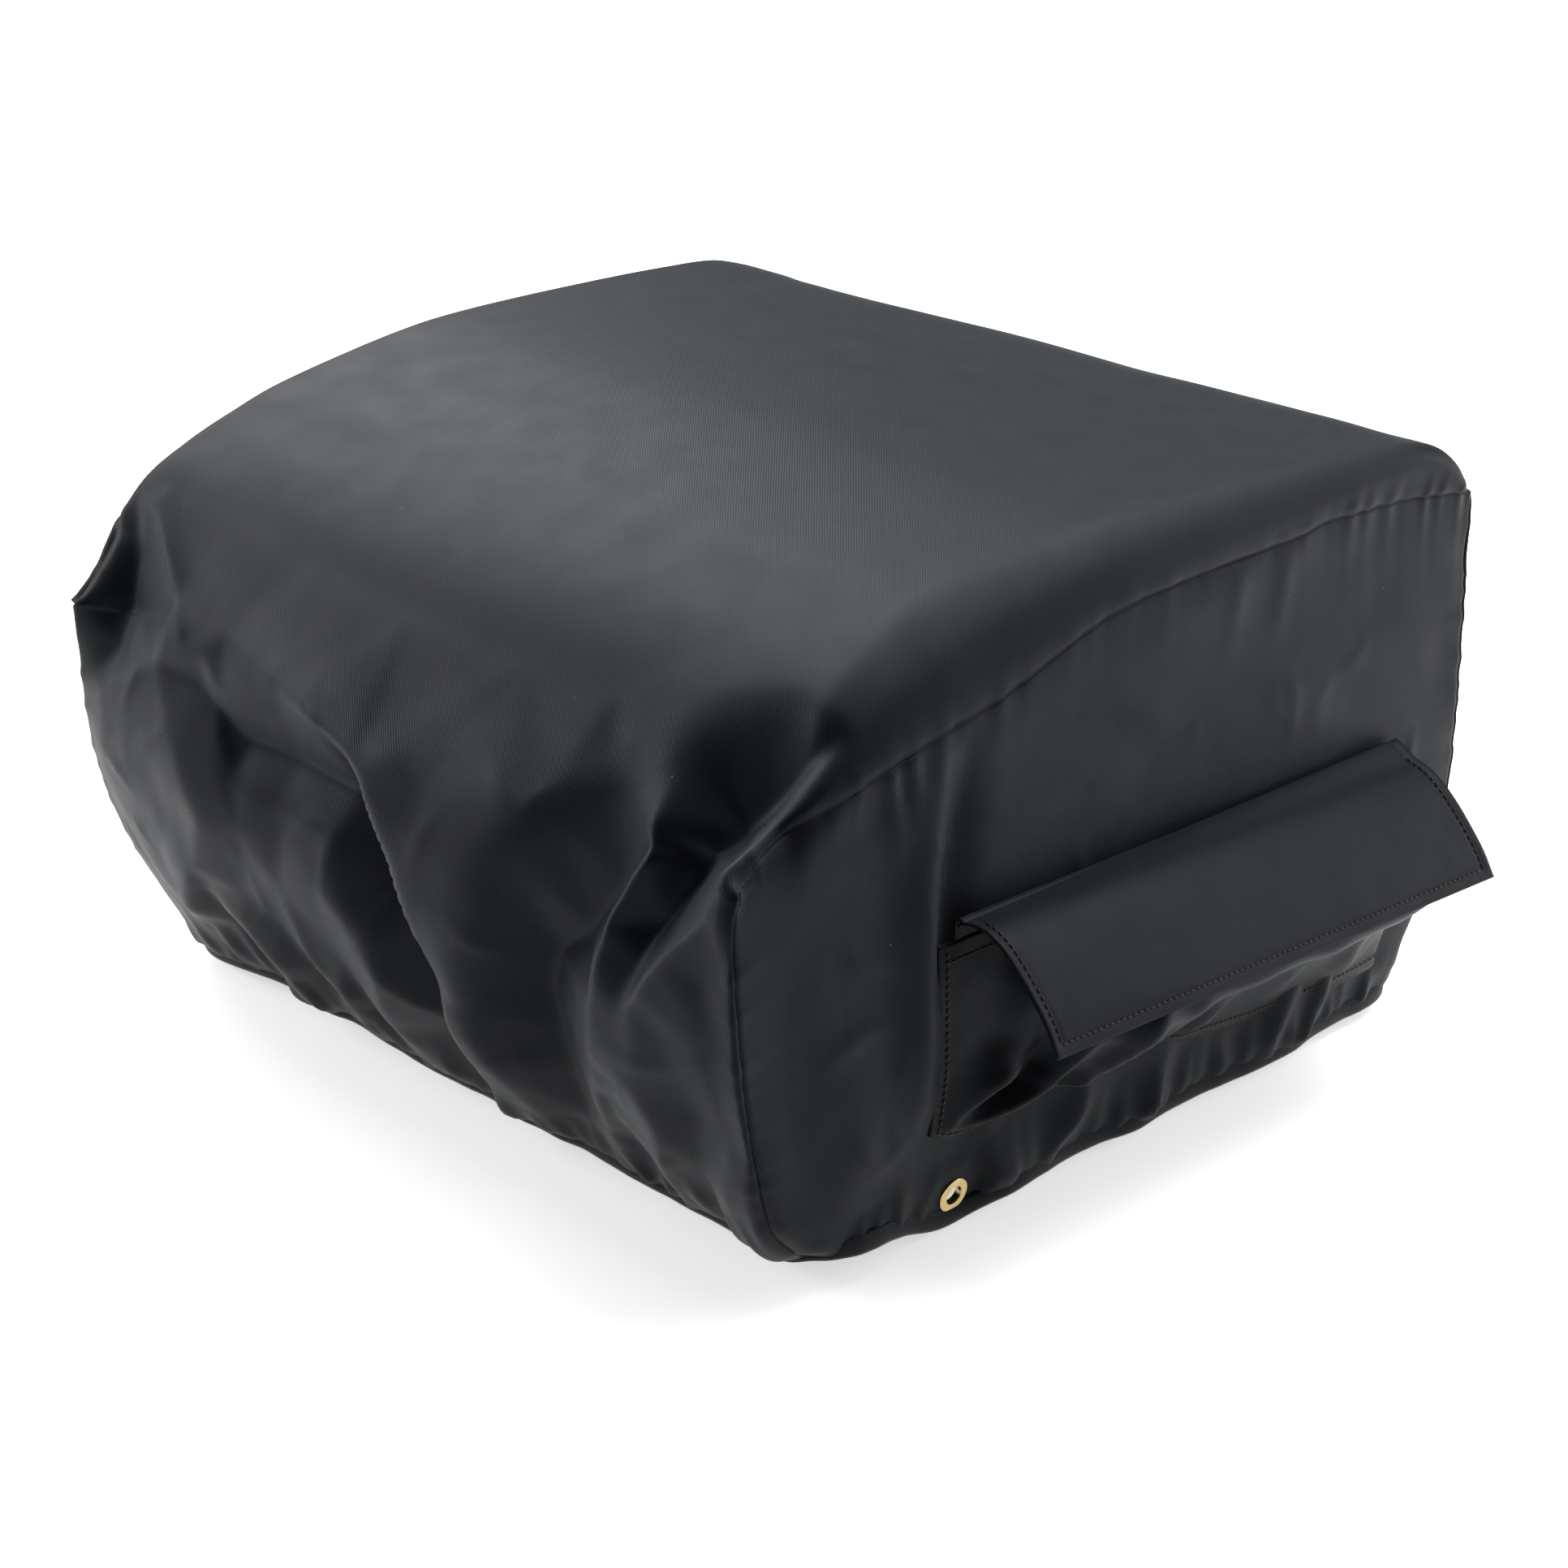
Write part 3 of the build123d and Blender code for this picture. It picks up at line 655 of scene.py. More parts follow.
def new_material(name):
    """A material with its node tree and its shader."""
    material = bpy.data.materials.new(name)
    material.use_nodes = True
    return material, material.node_tree, material.node_tree.nodes["Principled BSDF"]


DIAGONAL_BANDS = 0.444  # distance between the bands of a diagonal wave at a scale of 1


def coated_polyester(name, tint="#121417", weave_pitch=1.3):
    """Woven black polyester with a thin coating, which gives soft, slightly greasy highlights."""
    material, tree, shader = new_material(name)
    place = node(tree, "ShaderNodeUVMap")
    # The real twill has about 0.4 mm between threads, too fine to show, so it's drawn coarser,
    # over lumps of about 26 mm from handling and a grain of about 1 mm.
    twill = node(
        tree, "ShaderNodeTexWave", {"Vector": place.outputs[0]},
        bands_direction="DIAGONAL", Scale=DIAGONAL_BANDS / (weave_pitch * MM), Distortion=0.0,
    )
    lumps = node(tree, "ShaderNodeTexNoise", {"Vector": place.outputs[0]}, Scale=38.0, Detail=4.0)
    fine = node(tree, "ShaderNodeTexNoise", {"Vector": place.outputs[0]}, Scale=900.0, Detail=2.0)
    colour = node(
        tree, "ShaderNodeMix", {0: lumps.outputs[0]}, data_type="RGBA",
        _6=linear(tint), _7=linear("#17191c"),
    )
    # Specks of pale lint, about 0.8 mm across, cling here and there about 17 mm apart.
    lint = node(tree, "ShaderNodeTexVoronoi", {"Vector": place.outputs[0]}, Scale=60.0, Randomness=1.0)
    speck = node(
        tree, "ShaderNodeMapRange", {"Value": lint.outputs["Distance"]},
        From_Min=0.014, From_Max=0.024, To_Min=0.45, To_Max=0.0,
    )
    chance = node(
        tree, "ShaderNodeMath", {0: lint.outputs["Color"]}, operation="GREATER_THAN", _1=0.62,
    )
    speck = node(
        tree, "ShaderNodeMath", {0: speck.outputs[0], 1: chance.outputs[0]}, operation="MULTIPLY",
    )
    linty = node(
        tree, "ShaderNodeMix", {0: speck.outputs[0], 6: colour.outputs[2]}, data_type="RGBA",
        _7=linear("#b9bbb8"),
    )
    tree.links.new(linty.outputs[2], shader.inputs["Base Color"])
    rough = node(
        tree, "ShaderNodeMapRange", {"Value": lumps.outputs[0]},
        From_Min=0.3, From_Max=0.7, To_Min=0.42, To_Max=0.5,
    )
    tree.links.new(rough.outputs[0], shader.inputs["Roughness"])
    weave = node(tree, "ShaderNodeBump", {"Height": twill.outputs[1]}, Strength=0.2, Distance=0.0003)
    grain = node(
        tree, "ShaderNodeBump", {"Height": fine.outputs[0], "Normal": weave.outputs[0]},
        Strength=0.1, Distance=0.0004,
    )
    tree.links.new(grain.outputs[0], shader.inputs["Normal"])
    shader.inputs["Specular IOR Level"].default_value = 0.1
    shader.inputs["Specular Tint"].default_value = linear("#eef6ff")
    shader.inputs["Sheen Weight"].default_value = 0.07
    shader.inputs["Sheen Tint"].default_value = linear("#e6f0fb")
    shader.inputs["Sheen Roughness"].default_value = 0.5
    return material


def add_object(name, data):
    """Puts a mesh, a lamp or a camera into the scene."""
    made = bpy.data.objects.new(name, data)
    bpy.context.scene.collection.objects.link(made)
    return made


def grid_mesh(name, grid, flat, thickness=0.9, flip=False, hole=None):
    """A cloth piece from a grid of points in mm, with the places of its flat cut as UVs."""
    grid_rows, grid_columns = grid.shape[:2]
    index = np.arange(grid_rows * grid_columns).reshape(grid_rows, grid_columns)
    quads = np.stack([index[:-1, :-1], index[:-1, 1:], index[1:, 1:], index[1:, :-1]], axis=-1)
    quads = quads.reshape(-1, 4)
    if flip:
        quads = quads[:, ::-1]
    if hole is not None:
        quads = quads[hole(grid.reshape(-1, 3)[quads].mean(axis=1))]
    mesh = bpy.data.meshes.new(name)
    mesh.from_pydata((grid.reshape(-1, 3) * MM).tolist(), [], quads.tolist())
    layer = mesh.uv_layers.new(name="flat_cut")
    corners = np.array([loop.vertex_index for loop in mesh.loops])
    layer.data.foreach_set("uv", (flat.reshape(-1, 2)[corners] * MM).astype(np.float32).ravel())
    mesh.shade_smooth()
    piece = add_object(name, mesh)
    if thickness:
        solid = piece.modifiers.new("cloth thickness", "SOLIDIFY")
        solid.thickness = thickness * MM
        solid.offset = -1
    return piece


shell_cloth = coated_polyester("coated_polyester_twill")


def dress(piece, material, slot, *nodes, body="cover"):
    """Gives a piece its material, hides the model parts it stands in for, and hangs it on the body it
    moves with.
    """
    piece.data.materials.append(material)
    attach(piece, body)
    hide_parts(*nodes)


flat_cut = np.stack([panel_s, panel_q], axis=-1)
long_panel = grid_mesh("main_panel_cloth", shell, flat_cut)
dress(long_panel, shell_cloth, "shell_cloth", "main_panel")

EYELET_BORE = 5.6  # the cloth is cut away inside this radius


def outside_eyelet(middles):
    return np.hypot(middles[:, 1] - EYELET_Y, middles[:, 2] - EYELET_Z) > EYELET_BORE


for side, word in ((1, "right"), (-1, "left")):
    grid = end_grids[side]
    piece = grid_mesh(
        f"{word}_side_panel_cloth", grid, grid[..., 1:], flip=side < 0, hole=outside_eyelet
    )
    dress(piece, shell_cloth, "shell_cloth", f"{word}_side_panel")

# ---- Seam bindings --------------------------------------------------------------------------
# Folded polyester tape is sewn over the raw seam allowance inside the cover, along the front,
# top and back of each end panel.


def strip(name, lines, thickness=0.9, flip=False):
    """A cloth strip whose grid runs through the given lines of points."""
    grid = np.stack(lines, axis=0)
    along = length_along(grid[0])
    over = length_along(grid[:, 0])
    flat = np.stack(np.meshgrid(along, over), axis=-1)
    return grid_mesh(name, grid, flat, thickness, flip)


def binding_tape(name):
    """Flat woven polyester tape, duller than the coated cloth, drawn here with the coated cloth's shader
    in its own tint and with a finer twill.
    """
    return coated_polyester(name, tint="#141517", weave_pitch=1.0)


tape = binding_tape("polyester_binding_tape")
BINDING_WIDTH = 9.0
for side, word in ((1, "right"), (-1, "left")):
    seam = shell[4:-4, -1 if side > 0 else 0]
    inside = np.stack([np.full(len(seam), -side * 1.0), -outward[4:-4, 0], -outward[4:-4, 1]], axis=1)
    inward = unit(inside)
    lines = [seam + inward * reach for reach in (2.0, 5.0, 2.0 + BINDING_WIDTH)]
    binding = strip(f"{word}_seam_binding_tape", lines, 1.2)
    dress(binding, tape, "binding_tape", f"{word}_seam_binding")

# ---- Hem ------------------------------------------------------------------------------------
# The bottom edge is turned up into a casing, stitched with a plain row, and a flat elastic runs
# inside it. The elastic is shorter than the hem, so it draws the cloth in and gathers it.

hem_line = np.vstack(
    [shell[0, :-1], end_grids[1][0, :-1], shell[-1][::-1][:-1], end_grids[-1][0][::-1][:-1]]
)


def ring_smooth(points, times):
    """Evens out a closed line."""
    for _ in range(times):
        points = (np.roll(points, 1, axis=0) + 2 * points + np.roll(points, -1, axis=0)) / 4
    return points


def evenly(points, step):
    """Points step apart on a closed line."""
    closed = np.vstack([points, points[:1]])
    length = length_along(closed)
    at = np.arange(0, length[-1], step)
    return np.stack([np.interp(at, length, closed[:, i]) for i in range(3)], axis=1)


hem_path = ring_smooth(evenly(hem_line, 3.0), 6)
hem_way = unit(np.roll(hem_path, -1, axis=0) - np.roll(hem_path, 1, axis=0))
hem_out = unit(np.stack([hem_way[:, 1], -hem_way[:, 0], np.zeros(len(hem_path))], axis=1))


def hem_band(name, section, thickness):
    """A closed band round the hem with the given (outward, up) section."""
    lines = []
    for out, up in section:
        line = hem_path + hem_out * out + np.array([0, 0, 1.0]) * up
        lines.append(np.vstack([line, line[:1]]))
    return strip(name, lines, thickness, flip=True)


casing = hem_band(
    "hem_casing_band",
    [(-1.6, 6.0), (-1.5, 1.0), (-0.4, -1.0), (1.0, -1.0), (2.0, 0.8), (2.3, 4.5), (2.2, 8.0),
     (0.6, 10.5)],
    0.6,
)
dress(casing, shell_cloth, "shell_cloth", "hem_casing")
elastic = hem_band("hem_elastic_band", [(0.2, 1.6), (0.5, 4.5), (0.2, 7.4)], 0.8)


def woven_elastic(name):
    """Woven rubber-cored elastic, black, drawn with the same twill as the cloth but finer."""
    return coated_polyester(name, tint="#101112", weave_pitch=0.9)


dress(elastic, woven_elastic("woven_elastic"), "elastic", "hem_elastic")


def bonded_thread(name):
    """Bonded polyester sewing thread with a slight gloss."""
    material, tree, shader = new_material(name)
    place = node(tree, "ShaderNodeTexCoord")
    # The plies show about 0.9 mm apart.
    ply = node(
        tree, "ShaderNodeTexWave", {"Vector": place.outputs["Object"]},
        bands_direction="DIAGONAL", Scale=400.0,
    )
    twist = node(tree, "ShaderNodeBump", {"Height": ply.outputs[1]}, Strength=0.3, Distance=0.0002)
    tree.links.new(twist.outputs[0], shader.inputs["Normal"])
    shader.inputs["Base Color"].default_value = linear("#08080a")
    shader.inputs["Roughness"].default_value = 0.6
    return material


thread = bonded_thread("black_bonded_thread")
STITCH_LENGTH = 3.0
STITCH_GAP = 1.1
THREAD_RADIUS = 0.42


def stitches(name, lines):
    """Rows of lockstitches: each stitch is a short bead of thread that dips in at its ends."""
    points, faces = [], []
    sides = 5
    shares = np.array([0.0, 0.15, 0.5, 0.85, 1.0])
    swell = np.array([0.35, 0.9, 1.0, 0.9, 0.35])
    rise = np.array([-0.5, 0.1, 0.3, 0.1, -0.5]) * THREAD_RADIUS
    for line, out in lines:
        length = length_along(line)
        starts = np.arange(0.5, length[-1] - STITCH_LENGTH, STITCH_LENGTH + STITCH_GAP)
        for start in starts:
            at = start + shares * STITCH_LENGTH
            middle = np.stack([np.interp(at, length, line[:, i]) for i in range(3)], axis=1)
            away = unit(np.stack([np.interp(at, length, out[:, i]) for i in range(3)], axis=1))
            way = unit(middle[-1:] - middle[:1])
            beside = np.cross(away, way)
            first = len(points)
            for ring in range(len(shares)):
                for corner in range(sides):
                    angle = 2 * pi * corner / sides
                    reach = THREAD_RADIUS * swell[ring]
                    offset = away[ring] * (rise[ring] + reach * sin(angle))
                    offset = offset + beside[ring] * reach * cos(angle)
                    points.append(middle[ring] + offset)
            for ring in range(len(shares) - 1):
                for corner in range(sides):
                    a = first + ring * sides + corner
                    b = first + ring * sides + (corner + 1) % sides
                    faces.append((a, b, b + sides, a + sides))
            faces.append(tuple(first + c for c in range(sides))[::-1])
            faces.append(tuple(first + (len(shares) - 1) * sides + c for c in range(sides)))
    mesh = bpy.data.meshes.new(name)
    mesh.from_pydata((np.array(points) * MM).tolist(), [], faces)
    mesh.shade_smooth()
    return add_object(name, mesh)


hem_row = hem_path + hem_out * 2.3 + np.array([0, 0, 8.2])
closed_row = (np.vstack([hem_row, hem_row[:1]]), np.vstack([hem_out, hem_out[:1]]))
hem_stitches = stitches("hem_stitch_row", [closed_row])
dress(hem_stitches, thread, "thread", "hem_stitching")

# ---- Grommets -------------------------------------------------------------------------------
# A brass eyelet is set in each end panel just above the hem, and clenched over a brass washer
# inside, to tie the cover down.


def stamped_brass(name):
    """Polished stamped brass, slightly brushed by handling."""
    material, tree, shader = new_material(name)
    place = node(tree, "ShaderNodeTexCoord")
    # Finger marks and brushing about 4 mm across.
    smears = node(
        tree, "ShaderNodeTexNoise", {"Vector": place.outputs["Object"]}, Scale=260.0, Detail=3.0
    )
    colour = node(
        tree, "ShaderNodeMix", {0: smears.outputs[0]}, data_type="RGBA",
        _6=linear("#d9b36a"), _7=linear("#ead9a6"),
    )
    tree.links.new(colour.outputs[2], shader.inputs["Base Color"])
    rough = node(tree, "ShaderNodeMapRange", {"Value": smears.outputs[0]}, _3=0.2, _4=0.38)
    tree.links.new(rough.outputs[0], shader.inputs["Roughness"])
    shader.inputs["Metallic"].default_value = 1.0
    return material


brass = stamped_brass("polished_brass")
for word in ("right", "left"):
    for part in ("eyelet", "washer"):
        grommet = bpy.data.objects[frame["nodes"][f"grommet_{word}_{part}"].name]
        for slot in grommet.material_slots:
            slot.material = brass

# ---- Pocket ---------------------------------------------------------------------------------
# A full patch pocket of the same cloth is sewn to the right end panel: its side edges and its
# curved bottom are turned and stitched down, its mouth is hemmed, and its fullness stands out
# under the flap.

POCKET_FOOT = 50.0
FITTED_BELOW = 84.0  # below this height the section is fitted to the bottom seam
POCKET_ROWS = 64
POCKET_COLUMNS = 150
# (place along the end, how far the pocket stands out, height of its bottom seam)
pocket_run = [(-146, 1.5, 66), (-132, 3, 59), (-100, 6, 61), (-76, 14, 62), (-52, 30, 62), (-19, 42, 61)]
pocket_run += [(20, 46, 55), (60, 48, 47), (127, 50, 38), (180, 49, 35), (200, 45, 35), (209, 30, 36)]
pocket_run += [(212, 2, 38)]
pocket_lines = spline(pocket_run, POCKET_COLUMNS, crowd(POCKET_COLUMNS, 0.3))
pocket_section = [(0.25, 168), (0.5, 153), (0.8, 137), (0.97, 121), (1.0, 109), (0.95, 101), (0.74, 94)]
pocket_section += [(0.45, 84), (0.2, 72), (0.06, 60), (0.0, 50)]
section = spline(pocket_section, POCKET_ROWS)
pocket = np.zeros((len(section), POCKET_COLUMNS, 3))
for column, (place, stand, foot) in enumerate(pocket_lines):
    z = section[:, 1]
    share = (z - POCKET_FOOT) / (FITTED_BELOW - POCKET_FOOT)
    z = np.where(z < FITTED_BELOW, foot + share * (FITTED_BELOW - foot), z)
    wall = HALF_WIDTH - PULL_END * pull(z) + 1.6
    pocket[:, column] = np.stack([wall + stand * section[:, 0], np.full(len(z), place), z], axis=1)
pocket_folds = [
    ([(-140, 62, 0), (-128, 78, 8), (-113, 91, 13), (-98, 92, 9), (-88, 84, 2)], 9, 8, 1.5),
    ([(-138, 60, 0), (-112, 68, 9), (-86, 77, 14), (-68, 92, 12), (-56, 110, 3)], 8, 8, 1.5),
    ([(-136, 58, 0), (-100, 60, 7), (-70, 61, 9), (-46, 70, 4)], 6, 6, 1.5),
    ([(-56, 58, 4), (-42, 82, 12), (-32, 104, 10), (-24, 122, 2)], 9, 12, 2),
    ([(-104, 112, 0), (-88, 126, 6), (-78, 148, 2)], 10, 14, 3),
    ([(-126, 72, -3), (-104, 80, -9), (-88, 90, -8), (-80, 104, -2)], 6, 6, 2),
    ([(-20, 58, 2), (-8, 80, 8), (-2, 100, 3)], 8, 10, 2),
    ([(40, 52, 2), (46, 72, 7), (44, 92, 2)], 9, 8, 2),
    ([(120, 50, 0), (108, 74, 5), (104, 94, 2)], 10, 9, 3),
    ([(186, 44, 0), (168, 64, 7), (160, 92, 2)], 9, 9, 3),
]
field = [np.zeros(pocket.shape[:2]) for _ in range(3)]
for points, left, right, *more in pocket_folds:
    add_fold(field, pocket[..., 1], pocket[..., 2], points, left, right, *more)
from_rows = np.minimum(np.arange(POCKET_ROWS), np.arange(POCKET_ROWS)[::-1])
from_columns = np.minimum(np.arange(POCKET_COLUMNS), np.arange(POCKET_COLUMNS)[::-1])
rim = np.minimum.outer(from_rows, from_columns)
held = smooth(0, 7, rim)
field[0] += 1.2 * waves(pocket.shape[:2], 12, random) + 0.4 * waves(pocket.shape[:2], 5, random)
pocket_normal = turned_out(normals(pocket), (30, 40), 0)
pocket_cloth = pocket + pocket_normal * (held * field[0])[..., None]
piece = grid_mesh("pocket_cloth", pocket_cloth, pocket[..., 1:], flip=True)
dress(piece, shell_cloth, "shell_cloth", "pocket_front")

hem_rows = 6
mouth = pocket_cloth[:hem_rows] - pocket_normal[:hem_rows] * 1.4
piece = grid_mesh("pocket_mouth_hem_cloth", mouth, pocket[:hem_rows, :, 1:], flip=True)
dress(piece, shell_cloth, "shell_cloth", "pocket_mouth_hem")


def offset_line(grid, normal, line_rows, line_columns, lift=0.5):
    """A line over a cloth grid, just proud of it, with the way out of the cloth."""
    points = grid[line_rows, line_columns]
    out = normal[line_rows, line_columns]
    return points + out * lift, out


all_columns = np.arange(2, POCKET_COLUMNS - 2)
all_rows = np.arange(2, POCKET_ROWS - 2)
foot_row = np.full(len(all_columns), POCKET_ROWS - 4)
rows_of_thread = [
    offset_line(pocket_cloth, pocket_normal, np.full(len(all_columns), hem_rows - 1), all_columns),
    offset_line(pocket_cloth, pocket_normal, foot_row, all_columns),
    offset_line(pocket_cloth, pocket_normal, all_rows, np.full(len(all_rows), 3)),
    offset_line(pocket_cloth, pocket_normal, all_rows, np.full(len(all_rows), POCKET_COLUMNS - 4)),
]
piece = stitches("pocket_stitch_rows", rows_of_thread)
dress(piece, thread, "thread", "pocket_stitching")

# ---- Flap -----------------------------------------------------------------------------------
# The pocket's flap is cut double, turned and topstitched round three edges. Its root is folded
# over and sewn to the end panel with two rows, and the flap curves out and hangs over the mouth.

flap_low, flap_high = (np.array(corner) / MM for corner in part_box("pocket_flap"))
FLAP_FRONT = flap_low[1]
FLAP_BACK = flap_high[1]
joint = next(j for j in frame["record"]["behaviour"]["joints"] if j["name"] == "flap_hinge")
HINGE_X, _, HINGE_Z = (value / MM for value in joint["pos_m"])
FLAP_ROWS = 48
FLAP_COLUMNS = 140
BACK_REACH = 5.0  # the back end of the free edge stands out further, and hangs lower
BACK_DROP = 11.0
# The flap's section at its front end, from the round of its root to its free edge, as (out from
# the hinge line, up from it), and how much lower the back end hangs.
flap_section = [(-2.1, -0.6), (-1.4, 1.6), (0.8, 2.6), (8, 4.0), (16.5, 3.2), (26, -1.2), (35, -8.5)]
flap_section += [(44.5, -18.5), (55.5, -32.5), (63, -46.5)]
flap_line = spline(flap_section, FLAP_ROWS, crowd(FLAP_ROWS, 0.25))
flap_share = crowd(FLAP_COLUMNS, 0.3)
reach = smooth(0, 12, np.arange(FLAP_ROWS, dtype=float))[:, None]
flap = np.zeros((FLAP_ROWS, FLAP_COLUMNS, 3))
down_flap = (np.arange(FLAP_ROWS) / FLAP_ROWS)[:, None]
flap[..., 0] = HINGE_X + flap_line[:, :1] + BACK_REACH * flap_share * down_flap
flap[..., 1] = FLAP_FRONT + (FLAP_BACK - FLAP_FRONT) * flap_share
flap[..., 2] = HINGE_Z + flap_line[:, 1:2] - reach * BACK_DROP * flap_share
flap_normal = turned_out(normals(flap), (20, 60), 2)
flap_run = length_along(flap[:, 0])
flap_flat = np.stack(np.meshgrid(flap[0, :, 1], flap_run), axis=-1)
to_end = np.minimum(flap[..., 1] - FLAP_FRONT, FLAP_BACK - flap[..., 1])
to_edge = np.minimum(flap_run[-1] - flap_run[:, None], to_end)
TOPSTITCH = 6.0  # the row runs this far in from the edge
swell = 0.5 * waves(flap.shape[:2], 16, random) + 0.12 * waves(flap.shape[:2], 5, random)
seam_dip = -0.45 * np.exp(-(((to_edge - TOPSTITCH) / 1.3) ** 2))
rolled = 0.35 * np.exp(-(((to_edge - 2.5) / 2.0) ** 2))
flap_cloth = flap + flap_normal * (reach * (swell + rolled) + seam_dip)[..., None]
piece = grid_mesh("flap_cloth", flap_cloth, flap_flat, thickness=1.1, flip=True)
dress(piece, shell_cloth, "shell_cloth", "pocket_flap", body="flap")
lining = (flap_cloth - flap_normal * 1.35)[8:-1, 1:-1]
piece = grid_mesh("flap_lining_cloth", lining, flap_flat[8:-1, 1:-1], thickness=1.1, flip=True)
dress(piece, shell_cloth, "shell_cloth", "flap_lining", body="flap")


def line_at(grid, normal, rows_at, columns_at, lift=0.5):
    """A line through a grid at given rows and columns, whole or not, and the way out there."""
    r0 = np.clip(np.floor(rows_at).astype(int), 0, grid.shape[0] - 2)
    c0 = np.clip(np.floor(columns_at).astype(int), 0, grid.shape[1] - 2)
    fr, fc = (rows_at - r0)[:, None], (columns_at - c0)[:, None]

    def read(values):
        upper = values[r0, c0] * (1 - fc) + values[r0, c0 + 1] * fc
        lower = values[r0 + 1, c0] * (1 - fc) + values[r0 + 1, c0 + 1] * fc
        return upper * (1 - fr) + lower * fr

    out = unit(read(normal))
    return read(grid) + out * lift, out


row_number = np.arange(FLAP_ROWS)
column_number = np.arange(FLAP_COLUMNS)
tip_row = np.interp(flap_run[-1] - TOPSTITCH, flap_run, row_number)
front_column = np.interp(FLAP_FRONT + TOPSTITCH, flap[0, :, 1], column_number)
back_column = np.interp(FLAP_BACK - TOPSTITCH, flap[0, :, 1], column_number)
count = 200
along_tip = np.linspace(front_column, back_column, count)
down_end = np.linspace(9, tip_row, count)
flap_rows = [
    line_at(flap_cloth, flap_normal, np.full(count, tip_row), along_tip),
    line_at(flap_cloth, flap_normal, down_end, np.full(count, front_column)),
    line_at(flap_cloth, flap_normal, down_end, np.full(count, back_column)),
]
piece = stitches("flap_stitch_rows", flap_rows)
dress(piece, thread, "thread", "flap_stitching", body="flap")

ROOT_ROWS = 26
root_section = [(-4.6, -13), (-4.4, -6), (-4.3, 0), (-3.9, 4.4), (-1.6, 6.2), (0.8, 5.4), (2.0, 3.6)]
root_line = spline(root_section, ROOT_ROWS)
root = np.zeros((ROOT_ROWS, FLAP_COLUMNS, 3))
root[..., 0] = HINGE_X + root_line[:, :1]
root[..., 1] = flap[:1, :, 1]
root[..., 2] = HINGE_Z + root_line[:, 1:2] - 2.0 - 7.0 * flap_share
root_run = length_along(root[:, 0])
root_flat = np.stack(np.meshgrid(root[0, :, 1], root_run), axis=-1)
piece = grid_mesh("flap_root_cloth", root, root_flat, flip=True)
dress(piece, shell_cloth, "shell_cloth", "flap_root_fold")
root_normal = turned_out(normals(root), (5, 60), 0)
root_columns = np.linspace(2, FLAP_COLUMNS - 3, 300)
root_rows = [
    line_at(root, root_normal, np.full(300, 3.0), root_columns),
    line_at(root, root_normal, np.full(300, 13.0), root_columns),
]
piece = stitches("flap_root_stitch_rows", root_rows)
dress(piece, thread, "thread", "flap_root_stitching")

# ---- Floor, light and camera ----------------------------------------------------------------
# A wide pale paper floor, and five soft lamps: two large ones above and behind, one at the front
# left, and two weaker ones at the right that pick out the end panel and the flap.

floor_mesh = bpy.data.meshes.new("floor")
FAR = 30  # the floor reaches this far each way
floor_corners = [(-FAR, -FAR, 0), (FAR, -FAR, 0), (FAR, FAR, 0), (-FAR, FAR, 0)]
floor_mesh.from_pydata(floor_corners, [], [(0, 1, 2, 3)])
floor = add_object("floor", floor_mesh)
paper, paper_tree, paper_shader = new_material("white_paper")
paper_shader.inputs["Roughness"].default_value = 0.9
rays = node(paper_tree, "ShaderNodeLightPath")
seen = node(
    paper_tree, "ShaderNodeMath",
    {0: rays.outputs["Is Camera Ray"], 1: rays.outputs["Is Glossy Ray"]}, operation="ADD",
)
seen = node(
    paper_tree, "ShaderNodeMath",
    {0: seen.outputs[0], 1: rays.outputs["Is Transmission Ray"]}, operation="ADD", use_clamp=True,
)
shade = node(
    paper_tree, "ShaderNodeMix", {0: seen.outputs[0]}, data_type="RGBA",
    _6=linear("#2c2c2c"), _7=linear("#ffffff"),
)
paper_tree.links.new(shade.outputs[2], paper_shader.inputs["Base Color"])
paper_shader.inputs["Emission Color"].default_value = (1, 1, 1, 1)
paper_place = node(paper_tree, "ShaderNodeTexCoord")
paper_reach = node(
    paper_tree, "ShaderNodeVectorMath", {0: paper_place.outputs["Object"]}, operation="LENGTH"
)
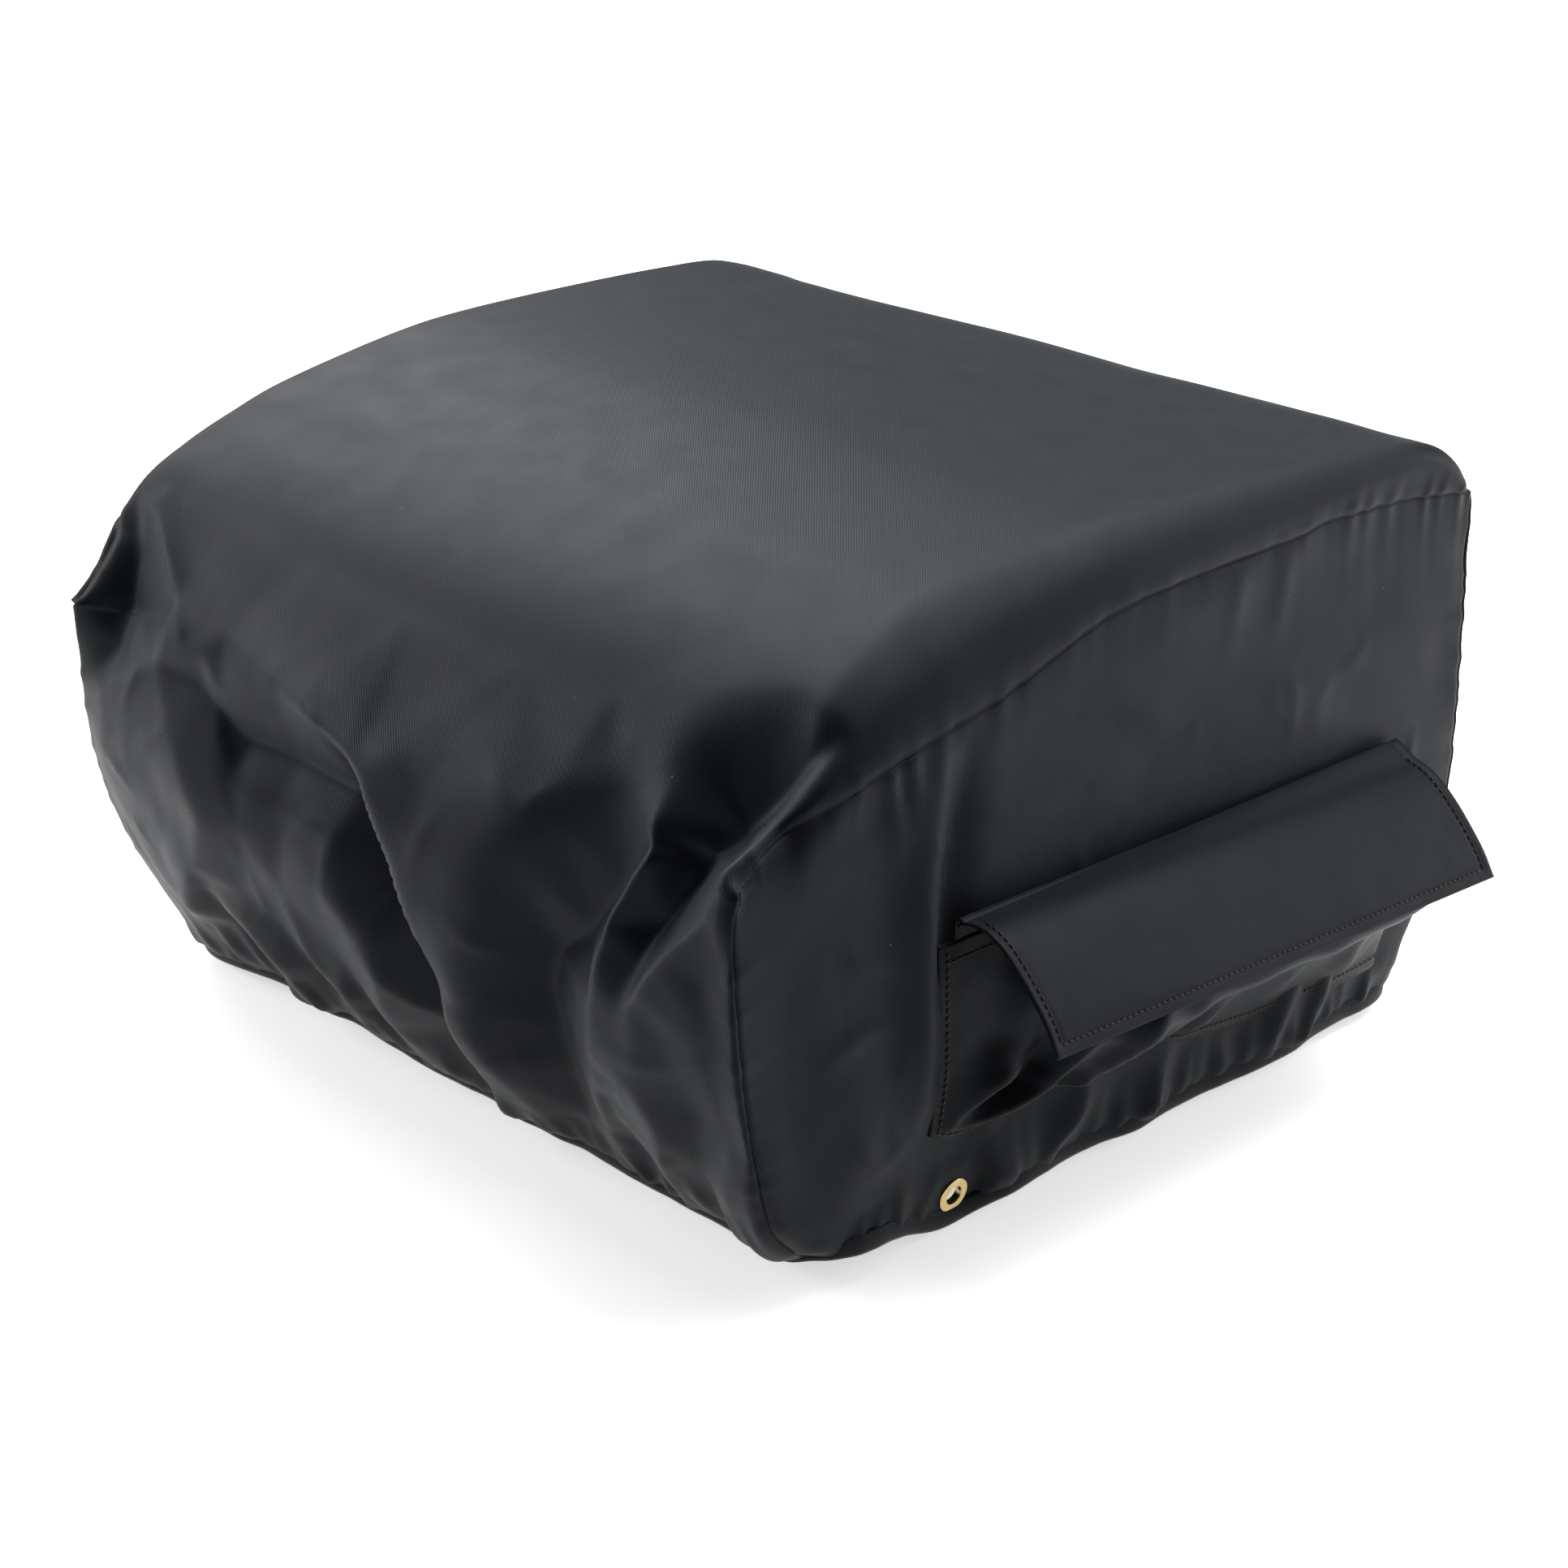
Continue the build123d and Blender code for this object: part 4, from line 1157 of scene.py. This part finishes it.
# Beyond the lamps' reach the paper keeps its own white.
paper_fade = node(
    paper_tree, "ShaderNodeMapRange", {"Value": paper_reach.outputs["Value"]},
    From_Min=0.9, From_Max=3.2, To_Min=0.62, To_Max=1.0,
)
paper_glow = node(
    paper_tree, "ShaderNodeMath", {0: seen.outputs[0], 1: paper_fade.outputs[0]},
    operation="MULTIPLY",
)
paper_tree.links.new(paper_glow.outputs[0], paper_shader.inputs["Emission Strength"])
floor_mesh.materials.append(paper)

world = bpy.data.worlds.new("studio")
world.use_nodes = True
bpy.context.scene.world = world
background = world.node_tree.nodes["Background"]
background.inputs["Color"].default_value = (1, 1, 1, 1)
background.inputs["Strength"].default_value = 0.06


def softbox(name, place, target, size, power):
    """A large rectangular lamp that faces a point."""
    lamp = bpy.data.lights.new(name, "AREA")
    lamp.shape = "RECTANGLE"
    lamp.size, lamp.size_y = size
    lamp.energy = power
    made = add_object(name, lamp)
    made.location = place
    made.rotation_mode = "QUATERNION"
    made.rotation_quaternion = (Vector(target) - Vector(place)).to_track_quat("-Z", "Y")


middle = (0.02, 0.0, 0.13)
softbox("left_light", (-1.9, 0.35, 1.95), middle, (2.2, 2.0), 62)
softbox("front_left_light", (-2.5, -1.6, 1.2), middle, (1.6, 1.2), 48)
softbox("back_light", (0.1, 1.0, 2.3), middle, (2.4, 2.0), 72)
softbox("right_light", (1.6, 2.2, 0.9), middle, (1.8, 1.2), 24)
softbox("edge_light", (1.2, 1.25, 1.9), middle, (1.3, 1.3), 12)

AZIMUTH = radians(46.085)
ELEVATION = radians(22.755)
DISTANCE = 1.8903
LOOK_AT = Vector((0.0197, 0.0, 0.1315))
camera_data = bpy.data.cameras.new("camera")
camera_data.lens = 78.95
camera_data.sensor_width = 36
camera = add_object("camera", camera_data)
back_way = Vector((sin(AZIMUTH) * cos(ELEVATION), -cos(AZIMUTH) * cos(ELEVATION), sin(ELEVATION)))
camera.location = LOOK_AT + back_way * DISTANCE
camera.rotation_mode = "QUATERNION"
camera.rotation_quaternion = (-back_way).to_track_quat("-Z", "Y")
bpy.context.scene.camera = camera
bpy.context.scene.view_settings.view_transform = "Standard"
